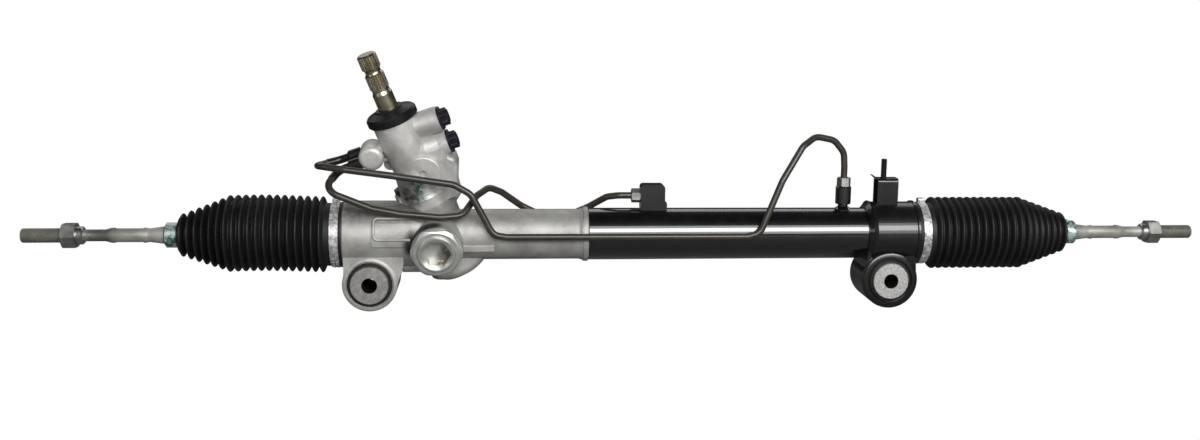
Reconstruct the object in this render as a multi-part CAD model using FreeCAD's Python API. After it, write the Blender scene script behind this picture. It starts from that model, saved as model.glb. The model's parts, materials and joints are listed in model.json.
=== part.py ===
import FreeCAD
import Part
import math
import os

# Hydraulic rack and pinion steering gear, in millimetres.
# X runs along the rack, Y away from the mounting bolt heads, Z up.
# The origin is on the axis of the left mounting bore.

Vec = FreeCAD.Vector
AXIS_X = Vec(1, 0, 0)
AXIS_Y = Vec(0, 1, 0)
AXIS_Z = Vec(0, 0, 1)
FULL_TURN = 360.0
REACH = 400.0

# Overall layout
MOUNT_SPAN = 513.4
RACK_HEIGHT = 44.0
TRAVEL = 68.0
STOP_GAP = 1.0
FIT = 0.05
SEAT_GAP = 0.1
CHAMFER = 1.2

# Mounting ears and their bushes
EAR_FRONT = 28.0
EAR_DEPTH = 48.4
LEFT_EAR_RADIUS = 26.0
RIGHT_EAR_RADIUS = 28.5
BUSH_RADIUS = 16.4
BUSH_LIP_RADIUS = 21.3
BUSH_LIP_DEPTH = 5.0
SLEEVE_BORE_RADIUS = 7.25
SLEEVE_RADIUS = 10.5
BUSH_FLANGE_RADIUS = 18.2
BUSH_FLANGE_THICKNESS = 3.5
BUSH_LIP = 2.0
REAR_WASHER_RADIUS = 17.0
REAR_WASHER_THICKNESS = 3.5

# Gear housing
LEFT_SHOULDER = -25.5
LEFT_SPIGOT_LENGTH = 14.9
SPIGOT_WALL = 2.75
BODY_RADIUS = 33.0
BODY_END = 40.0
ARM_START = 66.0
ARM_RADIUS = 24.75
JOINT_X = 209.5
JOINT_COLLAR_RADIUS = 27.0
JOINT_COLLAR_LENGTH = 6.0
JOINT_SPIGOT_LENGTH = 12.0
RACK_BORE_RADIUS = 15.5
PAD_START = 3.0
PAD_LOW = -6.5
PAD_HIGH = 16.0
PAD_RISE = 1.8
CASE_LEFT = 30.0
CASE_RIGHT = 111.0
CASE_CURVE_RADIUS = 47.0
CASE_CURVE_CENTRE_X = 70.0
CASE_BOTTOM = 1.5
CASE_FOOT = 8.5
CASE_FRONT = 16.0
CASE_BACK = 30.0
CASE_ROUND = 6.0
LEDGE_TOP = 38.0
LEDGE_DROP = 13.0
LEDGE_PROUD = 1.6
LEDGE_RIGHT = 118.0

# Steel cylinder tube and right bracket
TUBE_RADIUS = 25.75
TUBE_BORE_RADIUS = 22.5
NEAR_PORT_AFTER_JOINT = 64.5
FAR_PORT_BEFORE_BORE = 44.4
COLLAR_WALL = 6.25
COLLAR_BEFORE_BORE = 22.4
COLLAR_AFTER_BORE = 30.1
COLLAR_BEAD = 1.2
COLLAR_BEAD_WIDTH = 4.0
RIGHT_SPIGOT_LENGTH = 23.9
END_LIP = 3.0

# Pinion frame: crossing point on the rack, lean along the rack and lean to the front
PINION_X = 64.0
PINION_LEAN_X = 20.0
PINION_LEAN_Y = 13.5

# Gear teeth
MODULE = 2.0
PINION_TEETH = 7
PRESSURE_ANGLE = 20.0
HELIX_ANGLE = 28.0
PROFILE_SHIFT = 0.45
ADDENDUM = 0.85
RACK_DEDENDUM = 1.10
PINION_DEDENDUM = 1.15
BACKLASH = 0.12
PINION_FACE = 32.0
TOOTH_SECTIONS = 9

# Rack bar
RACK_RADIUS = 14.0
TOOTH_TIP_HEIGHT = 9.5
TOOTHED_BEFORE = 86.0
TOOTHED_AFTER = 86.0
STUD_RADIUS = 8.0
STUD_LENGTH = 24.0
PISTON_RADIUS = 22.3
PISTON_LENGTH = 22.0
PISTON_RING_WIDTH = 4.0
PISTON_RING_DEPTH = 2.2
SNAP_RING_WIDTH = 1.6
SNAP_RING_DEPTH = 1.0
SNAP_RING_RADIUS = 16.5
SEAL_WIDTH = 8.0
SEAL_BACKER_WIDTH = 10.0
BUSHING_LENGTH = 28.0
OUTER_SEAL_WIDTH = 7.0
BORE_SNAP_RING_DEPTH = 1.0
BORE_SNAP_RING_INNER = 18.0

# Pinion shaft, bearings and lower plug, along the pinion axis
BARREL_RADIUS = 25.5
BARREL_BOTTOM = -45.0
SPLIT_Z = 31.0
CASE_FLANGE = 11.0
FLANGE_MARGIN = 1.5
GEAR_CHAMBER_RADIUS = 13.0
JOURNAL_RADIUS = 8.0
JOURNAL_BOTTOM = -36.0
JOURNAL_TOP = -20.0
NEEDLE_SHELL_RADIUS = 11.0
PINION_NECK_RADIUS = 9.5
PINION_THREAD_RADIUS = 6.0
PINION_NUT_FLATS = 17.0
PINION_NUT_HEIGHT = 6.0
LOWER_PLUG_RADIUS = 16.0
LOWER_PLUG_FLANGE_RADIUS = 19.0
LOWER_PLUG_FLANGE = 5.0
UPPER_BEARING_RADIUS = 17.5
UPPER_BEARING_INNER_RADIUS = 8.5
UPPER_BEARING_HEIGHT = 11.0
RACE_WALL = 3.0

# Valve housing, along the pinion axis above the split
FLANGE_HEIGHT = 9.0
FLANGE_RADIUS = 26.0
BARREL_FOOT_RADIUS = 22.5
BARREL_WAIST_RADIUS = 19.6
BARREL_WAIST_Z = 71.0
BARREL_TOP_RADIUS = 21.0
BARREL_SHOULDER_Z = 92.0
BARREL_TOP_Z = 122.0
VALVE_BORE_RADIUS = 17.05
VALVE_BORE_BOTTOM = 42.0
VALVE_BORE_TOP = 104.0
INPUT_BEARING_RADIUS = 14.0
INPUT_SEAL_RADIUS = 15.5
INPUT_SEAL_WIDTH = 7.0
PORT_RADIUS = 12.5
PORT_REACH = 41.0
PORT_HEIGHTS = (106.0, 81.5)
PORT_THREAD_RADIUS = 8.5
PORT_THREAD_DEPTH = 12.0
PORT_DRILL_RADIUS = 4.5
WEB_HALF_THICKNESS = 15.0
WEB_BULGE = 1.5
WEB_BULGE_RISE = 18.0
WEB_CORNER = 5.0
WEB_ROUND = 4.0
PORT_ROOT_RADII = (12.6, 15.5)
PORT_COLLAR = 9.0
FRONT_BOSS_RADIUS = 17.5
FRONT_BOSS_X = 9.5
FRONT_BOSS_Z = 64.0
FRONT_BOSS_REACH = 19.2
FRONT_BOSS_ROUND = 2.0
FRONT_DIMPLE_RADIUS = 3.6
FRONT_DIMPLE_DEPTH = 2.5
LINE_BOSS_X = -32.0
LINE_BOSS_Z = 93.0
LINE_BOSS_RADIUS = 12.0
LINE_BOSS_FRONT = 15.0
LINE_BOSS_BACK = 15.0
LINE_PORTS = ((7.0, 96.0), (-7.0, 91.0))
BOLT_POINTS = ((22.0, 23.0), (-23.0, 17.0))
BOLT_EAR_RADIUS = 9.0
BOLT_RADIUS = 4.0
BOLT_FLATS = 13.0
BOLT_HEAD = 6.0
BOLT_GRIP = 9.0
BOLT_HEAD_ROOM = 20.0

# Rotary valve
SPOOL_RADIUS = 10.5
SPOOL_BOTTOM = 58.0
VALVE_SLEEVE_BOTTOM = 46.0
VALVE_SLEEVE_TOP = 102.0
VALVE_SLEEVE_GAP = 0.25
SLEEVE_RING_COUNT = 4
SLEEVE_RING_WIDTH = 2.2
SLEEVE_RING_DEPTH = 1.3
PINION_HEAD_RADIUS = 12.0
PINION_HEAD_TOP = 56.0
PILOT_RADIUS = 5.0
TORSION_BAR_RADIUS = 2.8
TORSION_BAR_BOTTOM = 20.0
TORSION_BAR_TOP = 158.0
SPOOL_SLOTS = 8
SPOOL_SLOT_WIDTH = 3.6
SPOOL_SLOT_DEPTH = 0.9
INPUT_RADIUS = 9.5
INPUT_TIP_Z = 187.0
SERRATION_LENGTH = 34.0
SERRATION_COUNT = 24
SERRATION_DEPTH = 0.7
PINCH_GROOVE_RADIUS = 4.2

# Dust cover on the valve housing
COVER_RADIUS = 24.4
COVER_SKIRT = 3.2
COVER_HEIGHT = 10.0
COVER_CROWN_RADIUS = 14.0

# Plugs in the hose ports
PLUG_RIM = 2.4
PLUG_RIM_RADIUS = 11.6
PLUG_CORE_RADIUS = 6.4
PLUG_GRIP = 6.8
PLUG_LOBES = 6
PLUG_LOBE_RADIUS = 2.5

# Rack guide, square to the pinion axis
GUIDE_BORE_RADIUS = 18.05
GUIDE_BOSS_RADIUS = 24.5
GUIDE_BOSS_END = 42.0
GUIDE_START = 4.0
GUIDE_LENGTH = 25.0
LINER_THICKNESS = 1.0
LINER_HALF_ANGLE = 55.0
GUIDE_SPRING_RADIUS = 9.0
GUIDE_SPRING_HOLE = 4.0
GUIDE_SPRING_PLATE = 1.2
GUIDE_SPRING_RISE = 1.6
GUIDE_PLUG_END = 50.0
GUIDE_PLUG_LEAD_RADIUS = 15.6
GUIDE_PLUG_LEAD = 3.0
GUIDE_PLUG_HEX_FLATS = 24.0
GUIDE_PLUG_HEX_DEPTH = 9.5
LOCK_RING_RADIUS = 24.6
LOCK_RING_FLATS = 45.5
LOCK_RING_HEIGHT = 5.5
LOCK_RING_BEVEL = 1.6

# Ball joints and tie rods, measured outwards from the ball centre
BALL_RADIUS = 14.0
SEAT_WALL = 2.0
SEAT_MOUTH_ANGLE = 46.0
SOCKET_BACK = 19.0
SOCKET_RADIUS = 19.0
SOCKET_MOUTH_ANGLE = 52.0
SOCKET_LIP = 11.0
SOCKET_LIP_RADIUS = 15.5
SOCKET_FLATS = 35.0
SOCKET_FLAT_LENGTH = 9.0
CLAW_RADIUS = 16.5
CLAW_THICKNESS = 1.6
CLAW_WIDTH = 8.0
CLAW_TAB = 6.0
ROD_NECK_RADIUS = 6.5
ROD_SHANK_RADIUS = 7.2
BOOT_SEAT_RADIUS = 8.5
CLIP_CENTRE = 55.0
CLIP_WIDTH = 10.0
SEAT_MARGIN = 2.0
FLARE_END = 76.0
WRENCH_END = 110.0
WAIST_START = 115.5
WAIST_RADIUS = 5.65
WAIST_END = 137.4
THREAD_RADIUS = 6.9
NUT_SEAT_RADIUS = 6.6
ROD_TIP = 190.5
WRENCH_FLATS = 12.0
NUT_CENTRE = 147.5
NUT_HEIGHT = 13.0
NUT_FLATS = 22.0

# Boots and their clamps, measured outwards from the housing shoulder
BOOT_WALL = 1.9
BOOT_LIP = 2.5
CLAMP_START = 3.2
CLAMP_WIDTH = 8.0
CLAMP_THICKNESS = 1.0
CLAMP_EAR = 7.0
CLAMP_EAR_RISE = 4.5
FIRST_CREST = 20.0
LAST_CREST = 10.0
CRESTS = 19
CREST_RADIUS = 36.8
SMALL_CREST_RADIUS = 20.8
CONE_CRESTS = 6
CREST_DEPTH = 5.0
BOOT_END_RADIUS = 10.5
CLIP_THICKNESS = 1.4

# Pressure lines
LINE_RADIUS = 3.3
LINE_BEND = 14.0
LINE_NUT_RADIUS = 6.0
LINE_NUT_LENGTH = 13.0
PORT_NUT_FLATS = 12.5
PORT_NUT_LENGTH = 9.0
FAR_PORT_RADIUS = 7.9
FAR_PORT_NECK_RADIUS = 5.0
FAR_PORT_BASE = 30.0
FAR_PORT_TOP = 48.0
NEAR_PORT_LENGTH = 24.0
NEAR_PORT_DEPTH = 18.0
NEAR_PORT_TOP = 49.5
NEAR_PORT_INLET = 38.0
NEAR_PORT_SETBACK = 3.0
NEAR_PORT_LUG = 7.0
NEAR_PORT_ROUND = 3.5

# Bends of the pressure lines that aren't on a port's axis: X, Y and Z from the left mounting bore,
# from the near port, and from the far port
SHORT_LINE_BENDS = (
    (-41.0, -31.0, 92.0),
    (3.5, -33.5, 74.5),
    (30.0, -34.0, 69.5),
    (67.5, -33.5, 66.0),
    (88.0, -29.0, 67.0),
    (101.0, -14.0, 84.0),
    (113.0, 3.0, 90.0),
    (125.0, 12.0, 84.0),
    (144.0, 23.0, 69.0),
    (163.0, 27.5, 59.0),
)
SHORT_LINE_NEAR_PORT_BENDS = (
    (-80.0, 27.5, 59.0),
    (-62.0, 21.0, 68.0),
    (-45.0, 8.0, 80.0),
)
LONG_LINE_BENDS = (
    (-50.0, -4.0, 111.5),
    (-44.0, -24.0, 113.5),
    (-22.0, -29.0, 111.0),
    (24.0, -30.0, 105.2),
    (80.0, -30.0, 97.0),
)
LONG_LINE_FRONT_BENDS = ((96.0, 88.0), (117.0, 48.5), (130.0, 46.3))
LONG_LINE_RISE = ((-103.0, 45.8), (-91.0, 49.5))
LONG_LINE_FAR_PORT_BENDS = (
    (-69.0, -26.0, 101.0),
    (-47.0, -15.0, 134.0),
    (-32.0, -6.0, 143.0),
    (-12.0, -1.5, 139.0),
    (-1.0, 0.0, 126.5),
    (0.0, 0.0, 112.0),
)
LINE_FRONT_GAP = 2.2
LINE_ENTRY = 4.0
LINE_LEAD_IN = 34.0

# Line bracket and stud on the right collar
PLATE = 2.5
BRACKET_WIDTH = 21.0
BRACKET_DEPTH = 18.0
BRACKET_HEIGHT = 57.0
BRACKET_BEND = 4.0
STUD_OFFSET = -3.0
STUD_RADIUS_AT_THREAD = 3.1
STUD_ROOT_RADIUS = 3.6
STUD_TOP = 76.0
STUD_NUT_FLATS = 10.0
STUD_NUT_HEIGHT = 5.0
TONGUE_REACH = 5.5
TONGUE_RISE = 3.5
TONGUE_WIDTH = 7.0

# Places worked out from the sizes above
COLLAR_START = MOUNT_SPAN - COLLAR_BEFORE_BORE
COLLAR_RADIUS = TUBE_RADIUS + COLLAR_WALL
SPIGOT_RADIUS = TUBE_RADIUS + SPIGOT_WALL
BOOT_NECK_RADIUS = SPIGOT_RADIUS + SEAT_GAP + BOOT_WALL
NEAR_PORT_X = JOINT_X + NEAR_PORT_AFTER_JOINT
FAR_PORT_X = MOUNT_SPAN - FAR_PORT_BEFORE_BORE
RIGHT_SHOULDER = MOUNT_SPAN + COLLAR_AFTER_BORE
LEFT_END = LEFT_SHOULDER - LEFT_SPIGOT_LENGTH
RIGHT_END = RIGHT_SHOULDER + RIGHT_SPIGOT_LENGTH
BALL_OFFSET = TRAVEL + STOP_GAP + CLAW_THICKNESS + SOCKET_BACK
LEFT_BALL_X = LEFT_END - BALL_OFFSET
RIGHT_BALL_X = RIGHT_END + BALL_OFFSET
RACK_LEFT = LEFT_BALL_X + SOCKET_BACK + CLAW_THICKNESS
RACK_RIGHT = RIGHT_BALL_X - SOCKET_BACK - CLAW_THICKNESS
PISTON_X = (NEAR_PORT_X + FAR_PORT_X) / 2
EAR_BACK = EAR_DEPTH - EAR_FRONT
SLEEVE_FRONT = EAR_FRONT + BUSH_LIP + BUSH_FLANGE_THICKNESS
SLEEVE_BACK = EAR_BACK + BUSH_LIP + REAR_WASHER_THICKNESS
HELIX = math.radians(HELIX_ANGLE)
PRESSURE = math.radians(PRESSURE_ANGLE)
PITCH_RADIUS = MODULE * PINION_TEETH / (2 * math.cos(HELIX))
TIP_RADIUS = PITCH_RADIUS + MODULE * (ADDENDUM + PROFILE_SHIFT)
ROOT_RADIUS = PITCH_RADIUS - MODULE * (PINION_DEDENDUM - PROFILE_SHIFT)
RACK_REFERENCE = TOOTH_TIP_HEIGHT - MODULE * ADDENDUM
CENTRE_DISTANCE = RACK_REFERENCE + MODULE * PROFILE_SHIFT + PITCH_RADIUS
CAVITY_RADIUS = BALL_RADIUS + FIT + SEAT_WALL + FIT
LINE_FACE_X = LINE_BOSS_X - LINE_BOSS_RADIUS + 1.5
LINE_CORNER_X = LINE_FACE_X - LINE_NUT_LENGTH - 10
LOCAL = FreeCAD.Placement()


def frame(origin, x_axis, z_axis):
    """Placement whose local Z lies on z_axis and local X on x_axis."""
    y_axis = z_axis.cross(x_axis)
    rotation = FreeCAD.Rotation(x_axis, y_axis, z_axis, "ZXY")
    return FreeCAD.Placement(origin, rotation)


def placed(shape, placement):
    """Copy of a shape carried into a frame."""
    result = shape.copy()
    result.transformShape(placement.toMatrix(), True)
    return result


RACK_AXIS_POINT = Vec(0, 0, RACK_HEIGHT)
RACK = frame(RACK_AXIS_POINT, AXIS_Y, AXIS_X)

LEAN_X = math.radians(PINION_LEAN_X)
LEAN_Y = math.radians(PINION_LEAN_Y)
PINION_DIRECTION = Vec(
    -math.sin(LEAN_X),
    -math.cos(LEAN_X) * math.sin(LEAN_Y),
    math.cos(LEAN_X) * math.cos(LEAN_Y),
)
TO_PINION = Vec(0, math.cos(LEAN_Y), math.sin(LEAN_Y))
ACROSS_PINION = TO_PINION.cross(PINION_DIRECTION)
MESH_POINT = Vec(PINION_X, 0, RACK_HEIGHT)
PINION = frame(MESH_POINT + TO_PINION * CENTRE_DISTANCE, ACROSS_PINION, PINION_DIRECTION)
GUIDE = frame(MESH_POINT, AXIS_X, TO_PINION * -1)
LEFT_BALL = frame(Vec(LEFT_BALL_X, 0, RACK_HEIGHT), AXIS_Y, AXIS_X * -1)
RIGHT_BALL = frame(Vec(RIGHT_BALL_X, 0, RACK_HEIGHT), AXIS_Y, AXIS_X)


def turned(profile, placement):
    """Solid of revolution from (along, radius) points, along the frame's Z."""
    corners = [Vec(radius, 0, along) for along, radius in profile]
    face = Part.Face(Part.makePolygon(corners + corners[:1]))
    return placed(face.revolve(Vec(), AXIS_Z, FULL_TURN), placement)


def ring(inner, outer, start, end, placement):
    """Plain ring or bush between two stations of a frame's Z."""
    profile = ((start, inner), (end, inner), (end, outer), (start, outer))
    return turned(profile, placement)


def disc(radius, start, end, placement, x=0.0, y=0.0):
    """Plain cylinder between two stations, off the frame's axis by x and y."""
    solid = Part.makeCylinder(radius, end - start, Vec(x, y, start))
    return placed(solid, placement)


def hexagon(flats, start, end, placement):
    """Hexagonal bar between two stations of a frame's Z."""
    radius = flats / math.sqrt(3)
    angles = [math.radians(60 * step) for step in range(7)]
    corners = [Vec(radius * math.cos(a), radius * math.sin(a), start) for a in angles]
    face = Part.Face(Part.makePolygon(corners))
    return placed(face.extrude(Vec(0, 0, end - start)), placement)


def hex_nut(flats, bore, start, end, placement):
    """Hexagon nut with both ends turned to a chamfer."""
    corner = flats / math.sqrt(3)
    bevel = 0.5 * (corner - flats / 2)
    nut = hexagon(flats, start, end, placement)
    blank = turned(
        (
            (start, bore),
            (start, flats / 2),
            (start + bevel, corner),
            (end - bevel, corner),
            (end, flats / 2),
            (end, bore),
        ),
        placement,
    )
    return nut.common(blank)


def prism(corners, depth, origin, x_axis, normal):
    """Flat outline (x, y) raised along a normal from an origin."""
    points = [Vec(x, y, 0) for x, y in corners]
    face = Part.Face(Part.makePolygon(points + points[:1]))
    return placed(face.extrude(Vec(0, 0, depth)), frame(origin, x_axis, normal))


def upright(corners, front, back):
    """Outline in X and Z, thick from Y = front to Y = back."""
    points = [Vec(x, front, z) for x, z in corners]
    face = Part.Face(Part.makePolygon(points + points[:1]))
    return face.extrude(Vec(0, back - front, 0))


def block(low, high):
    size = high - low
    return Part.makeBox(size.x, size.y, size.z, low)


def link(first, second, radius_one, radius_two, start, end):
    """Plate round two circles of the pinion frame, joined by their tangents."""
    one = Vec(first[0], first[1], start)
    two = Vec(second[0], second[1], start)
    along = two - one
    gap = along.Length
    along.normalize()
    side = AXIS_Z.cross(along)
    lean = (radius_one - radius_two) / gap
    spread = math.sqrt(1 - lean * lean)
    corners = []
    for centre, radius, sign in ((one, radius_one, 1), (two, radius_two, 1),
                                 (two, radius_two, -1), (one, radius_one, -1)):
        corners.append(centre + along * (radius * lean) + side * (sign * radius * spread))
    height = Vec(0, 0, end - start)
    plate = Part.Face(Part.makePolygon(corners + corners[:1])).extrude(height)
    ends = [Part.makeCylinder(radius_one, end - start, one),
            Part.makeCylinder(radius_two, end - start, two)]
    return plate.multiFuse(ends)


def rounded_edges(solid, radius, keep):
    """Fillet the edges of a solid that the test keep picks."""
    edges = [edge for edge in solid.Edges if keep(edge)]
    return solid.makeFillet(radius, edges)


def is_line_along(direction):
    def test(edge):
        if not isinstance(edge.Curve, Part.Line):
            return False
        return abs(abs(edge.Curve.Direction.dot(direction)) - 1) < 1e-6
    return test


def bent_tube(points, radius, bend):
    """Round bar along straight runs that are joined by tangent arcs."""
    edges = []
    start = points[0]
    for before, corner, after in zip(points, points[1:], points[2:]):
        back = before - corner
        ahead = after - corner
        shorter = min(back.Length, ahead.Length)
        back.normalize()
        ahead.normalize()
        half = back.getAngle(ahead) / 2
        trim = min(bend / math.tan(half), 0.45 * shorter)
        arc_radius = trim * math.tan(half)
        middle = back + ahead
        middle.normalize()
        centre = corner + middle * (arc_radius / math.sin(half))
        arc_start = corner + back * trim
        arc_end = corner + ahead * trim
        edges.append(Part.LineSegment(start, arc_start).toShape())
        edges.append(Part.Arc(arc_start, centre - middle * arc_radius, arc_end).toShape())
        start = arc_end
    edges.append(Part.LineSegment(start, points[-1]).toShape())
    path = Part.Wire(edges)
    section = Part.Wire([Part.makeCircle(radius, points[0], points[1] - points[0])])
    return path.makePipeShell([section], True, False)


def ear(centre_x, radius):
    """Mounting boss that holds a bush, along Y."""
    boss = Part.makeCylinder(radius, EAR_DEPTH, Vec(centre_x, -EAR_FRONT, 0), AXIS_Y)
    return boss.makeChamfer(CHAMFER, [edge for edge in boss.Edges if edge.Closed])


def bush_bore(centre_x):
    """Bore of a mounting ear with a recess for the rubber's lip at each end."""
    front = EAR_FRONT - BUSH_LIP_DEPTH
    back = BUSH_LIP_DEPTH - EAR_BACK
    return turned(
        (
            (-2 * EAR_BACK, 0),
            (-2 * EAR_BACK, BUSH_LIP_RADIUS + FIT),
            (back, BUSH_LIP_RADIUS + FIT),
            (back, BUSH_RADIUS + FIT),
            (front, BUSH_RADIUS + FIT),
            (front, BUSH_LIP_RADIUS + FIT),
            (2 * EAR_FRONT, BUSH_LIP_RADIUS + FIT),
            (2 * EAR_FRONT, 0),
        ),
        bush_frame(centre_x),
    )


def pinion_point(x, y, z):
    return PINION.multVec(Vec(x, y, z))


def flange_plate(start, end, margin):
    """Joint face shared by the gear housing and the valve housing."""
    inner = FLANGE_RADIUS - 2 + margin
    outer = BOLT_EAR_RADIUS + margin
    plate = Part.makeCylinder(FLANGE_RADIUS + margin, end - start, Vec(0, 0, start))
    ears = [link((0, 0), point, inner, outer, start, end) for point in BOLT_POINTS]
    return plate.multiFuse(ears)


def is_foot_edge(edge):
    """Long lower edges of the case's foot, front and back."""
    return edge.BoundBox.XLength > 1 and edge.BoundBox.ZMax < CASE_FOOT + 1


def is_ledge_edge(edge):
    """Lower front edge of the ledge and its lower right corner."""
    box = edge.BoundBox
    front = box.YMax < -CASE_FRONT - 1
    return front and box.ZMax < LEDGE_TOP - 1


def is_ledge_rim(edge):
    """Upper front edge of the ledge."""
    box = edge.BoundBox
    return box.YMax < -CASE_FRONT - 1 and box.ZMin > LEDGE_TOP - 1 and box.XLength > 1


def gear_housing():
    body = turned(
        (
            (LEFT_END, 0),
            (LEFT_END, SPIGOT_RADIUS - 1),
            (LEFT_END + 1, SPIGOT_RADIUS),
            (LEFT_SHOULDER, SPIGOT_RADIUS),
            (LEFT_SHOULDER, BODY_RADIUS - 1),
            (LEFT_SHOULDER + 1, BODY_RADIUS),
            (BODY_END, BODY_RADIUS),
            (ARM_START, ARM_RADIUS),
            (JOINT_X - JOINT_COLLAR_LENGTH - 3, ARM_RADIUS),
            (JOINT_X - JOINT_COLLAR_LENGTH, JOINT_COLLAR_RADIUS - 1.2),
            (JOINT_X - JOINT_COLLAR_LENGTH + 1.2, JOINT_COLLAR_RADIUS - 1.2),
            (JOINT_X - JOINT_COLLAR_LENGTH + 1.2, JOINT_COLLAR_RADIUS),
            (JOINT_X - 0.6, JOINT_COLLAR_RADIUS),
            (JOINT_X, JOINT_COLLAR_RADIUS - 0.6),
            (JOINT_X, TUBE_BORE_RADIUS - FIT),
            (JOINT_X + JOINT_SPIGOT_LENGTH, TUBE_BORE_RADIUS - FIT),
            (JOINT_X + JOINT_SPIGOT_LENGTH, 0),
        ),
        RACK,
    )
    web_top = RACK_HEIGHT - math.sqrt(BODY_RADIUS ** 2 - EAR_FRONT ** 2)
    web = upright(
        (
            (-LEFT_EAR_RADIUS, 0),
            (LEFT_EAR_RADIUS, 0),
            (LEFT_EAR_RADIUS + 6, web_top - 8),
            (LEFT_EAR_RADIUS + 6, web_top),
            (LEFT_SHOULDER + 1, web_top),
            (LEFT_SHOULDER + 1, web_top / 3),
        ),
        -EAR_FRONT,
        EAR_BACK,
    )
    pad_shell = ring(BODY_RADIUS - 2, BODY_RADIUS + PAD_RISE, PAD_START, BODY_END, RACK)
    pad_box = block(
        Vec(PAD_START, -2 * BODY_RADIUS, RACK_HEIGHT + PAD_LOW),
        Vec(BODY_END, 0, RACK_HEIGHT + PAD_HIGH),
    )
    curve_centre = Vec(CASE_CURVE_CENTRE_X, -CASE_FRONT, CASE_BOTTOM + CASE_CURVE_RADIUS)
    case_depth = CASE_FRONT + CASE_BACK
    case = Part.makeCylinder(CASE_CURVE_RADIUS, case_depth, curve_centre, AXIS_Y)
    case = case.makeFillet(CASE_ROUND, [edge for edge in case.Edges if edge.Closed])
    case_box = block(
        Vec(PINION_X, -CASE_FRONT, -REACH),
        Vec(CASE_RIGHT, CASE_BACK, RACK_HEIGHT),
    )
    foot = block(
        Vec(CASE_LEFT, -CASE_FRONT, CASE_FOOT),
        Vec(PINION_X, CASE_BACK, RACK_HEIGHT),
    )
    foot = rounded_edges(foot, CASE_ROUND, is_foot_edge)
    ledge_front = ARM_RADIUS + LEDGE_PROUD
    ledge = block(
        Vec(BODY_END, -ledge_front, LEDGE_TOP - LEDGE_DROP),
        Vec(LEDGE_RIGHT, -CASE_FRONT, LEDGE_TOP),
    )
    ledge = ledge.makeChamfer(LEDGE_DROP / 2, [edge for edge in ledge.Edges if is_ledge_edge(edge)])
    ledge = rounded_edges(ledge, LEDGE_PROUD, is_ledge_rim)
    barrel = disc(BARREL_RADIUS, BARREL_BOTTOM, SPLIT_Z, PINION)
    flange = placed(flange_plate(SPLIT_Z - CASE_FLANGE, SPLIT_Z, 0), PINION)
    guide_boss = disc(GUIDE_BOSS_RADIUS, 0, GUIDE_BOSS_END, GUIDE)
    solid = body.multiFuse([
        ear(0, LEFT_EAR_RADIUS),
        web,
        pad_shell.common(pad_box),
        case.common(case_box),
        foot,
        ledge,
        barrel,
        flange,
        guide_boss,
    ])
    cuts = [
        disc(RACK_BORE_RADIUS, LEFT_END - 1, JOINT_X + JOINT_SPIGOT_LENGTH + 1, RACK),
        disc(GEAR_CHAMBER_RADIUS, JOURNAL_TOP, SPLIT_Z + 1, PINION),
        disc(NEEDLE_SHELL_RADIUS + FIT, JOURNAL_BOTTOM - 1, JOURNAL_TOP, PINION),
        disc(LOWER_PLUG_RADIUS + FIT, BARREL_BOTTOM - 1, JOURNAL_BOTTOM, PINION),
        disc(LOWER_PLUG_FLANGE_RADIUS + FLANGE_MARGIN, -REACH, BARREL_BOTTOM, PINION),
        placed(flange_plate(SPLIT_Z, REACH, FLANGE_MARGIN), PINION),
        disc(GUIDE_BORE_RADIUS, 0, GUIDE_BOSS_END + 1, GUIDE),
        bush_bore(0),
    ]
    for x, y in BOLT_POINTS:
        cuts.append(disc(BOLT_RADIUS + FIT, SPLIT_Z - CASE_FLANGE, SPLIT_Z + 1, PINION, x, y))
    return solid.cut(cuts).removeSplitter()


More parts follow.
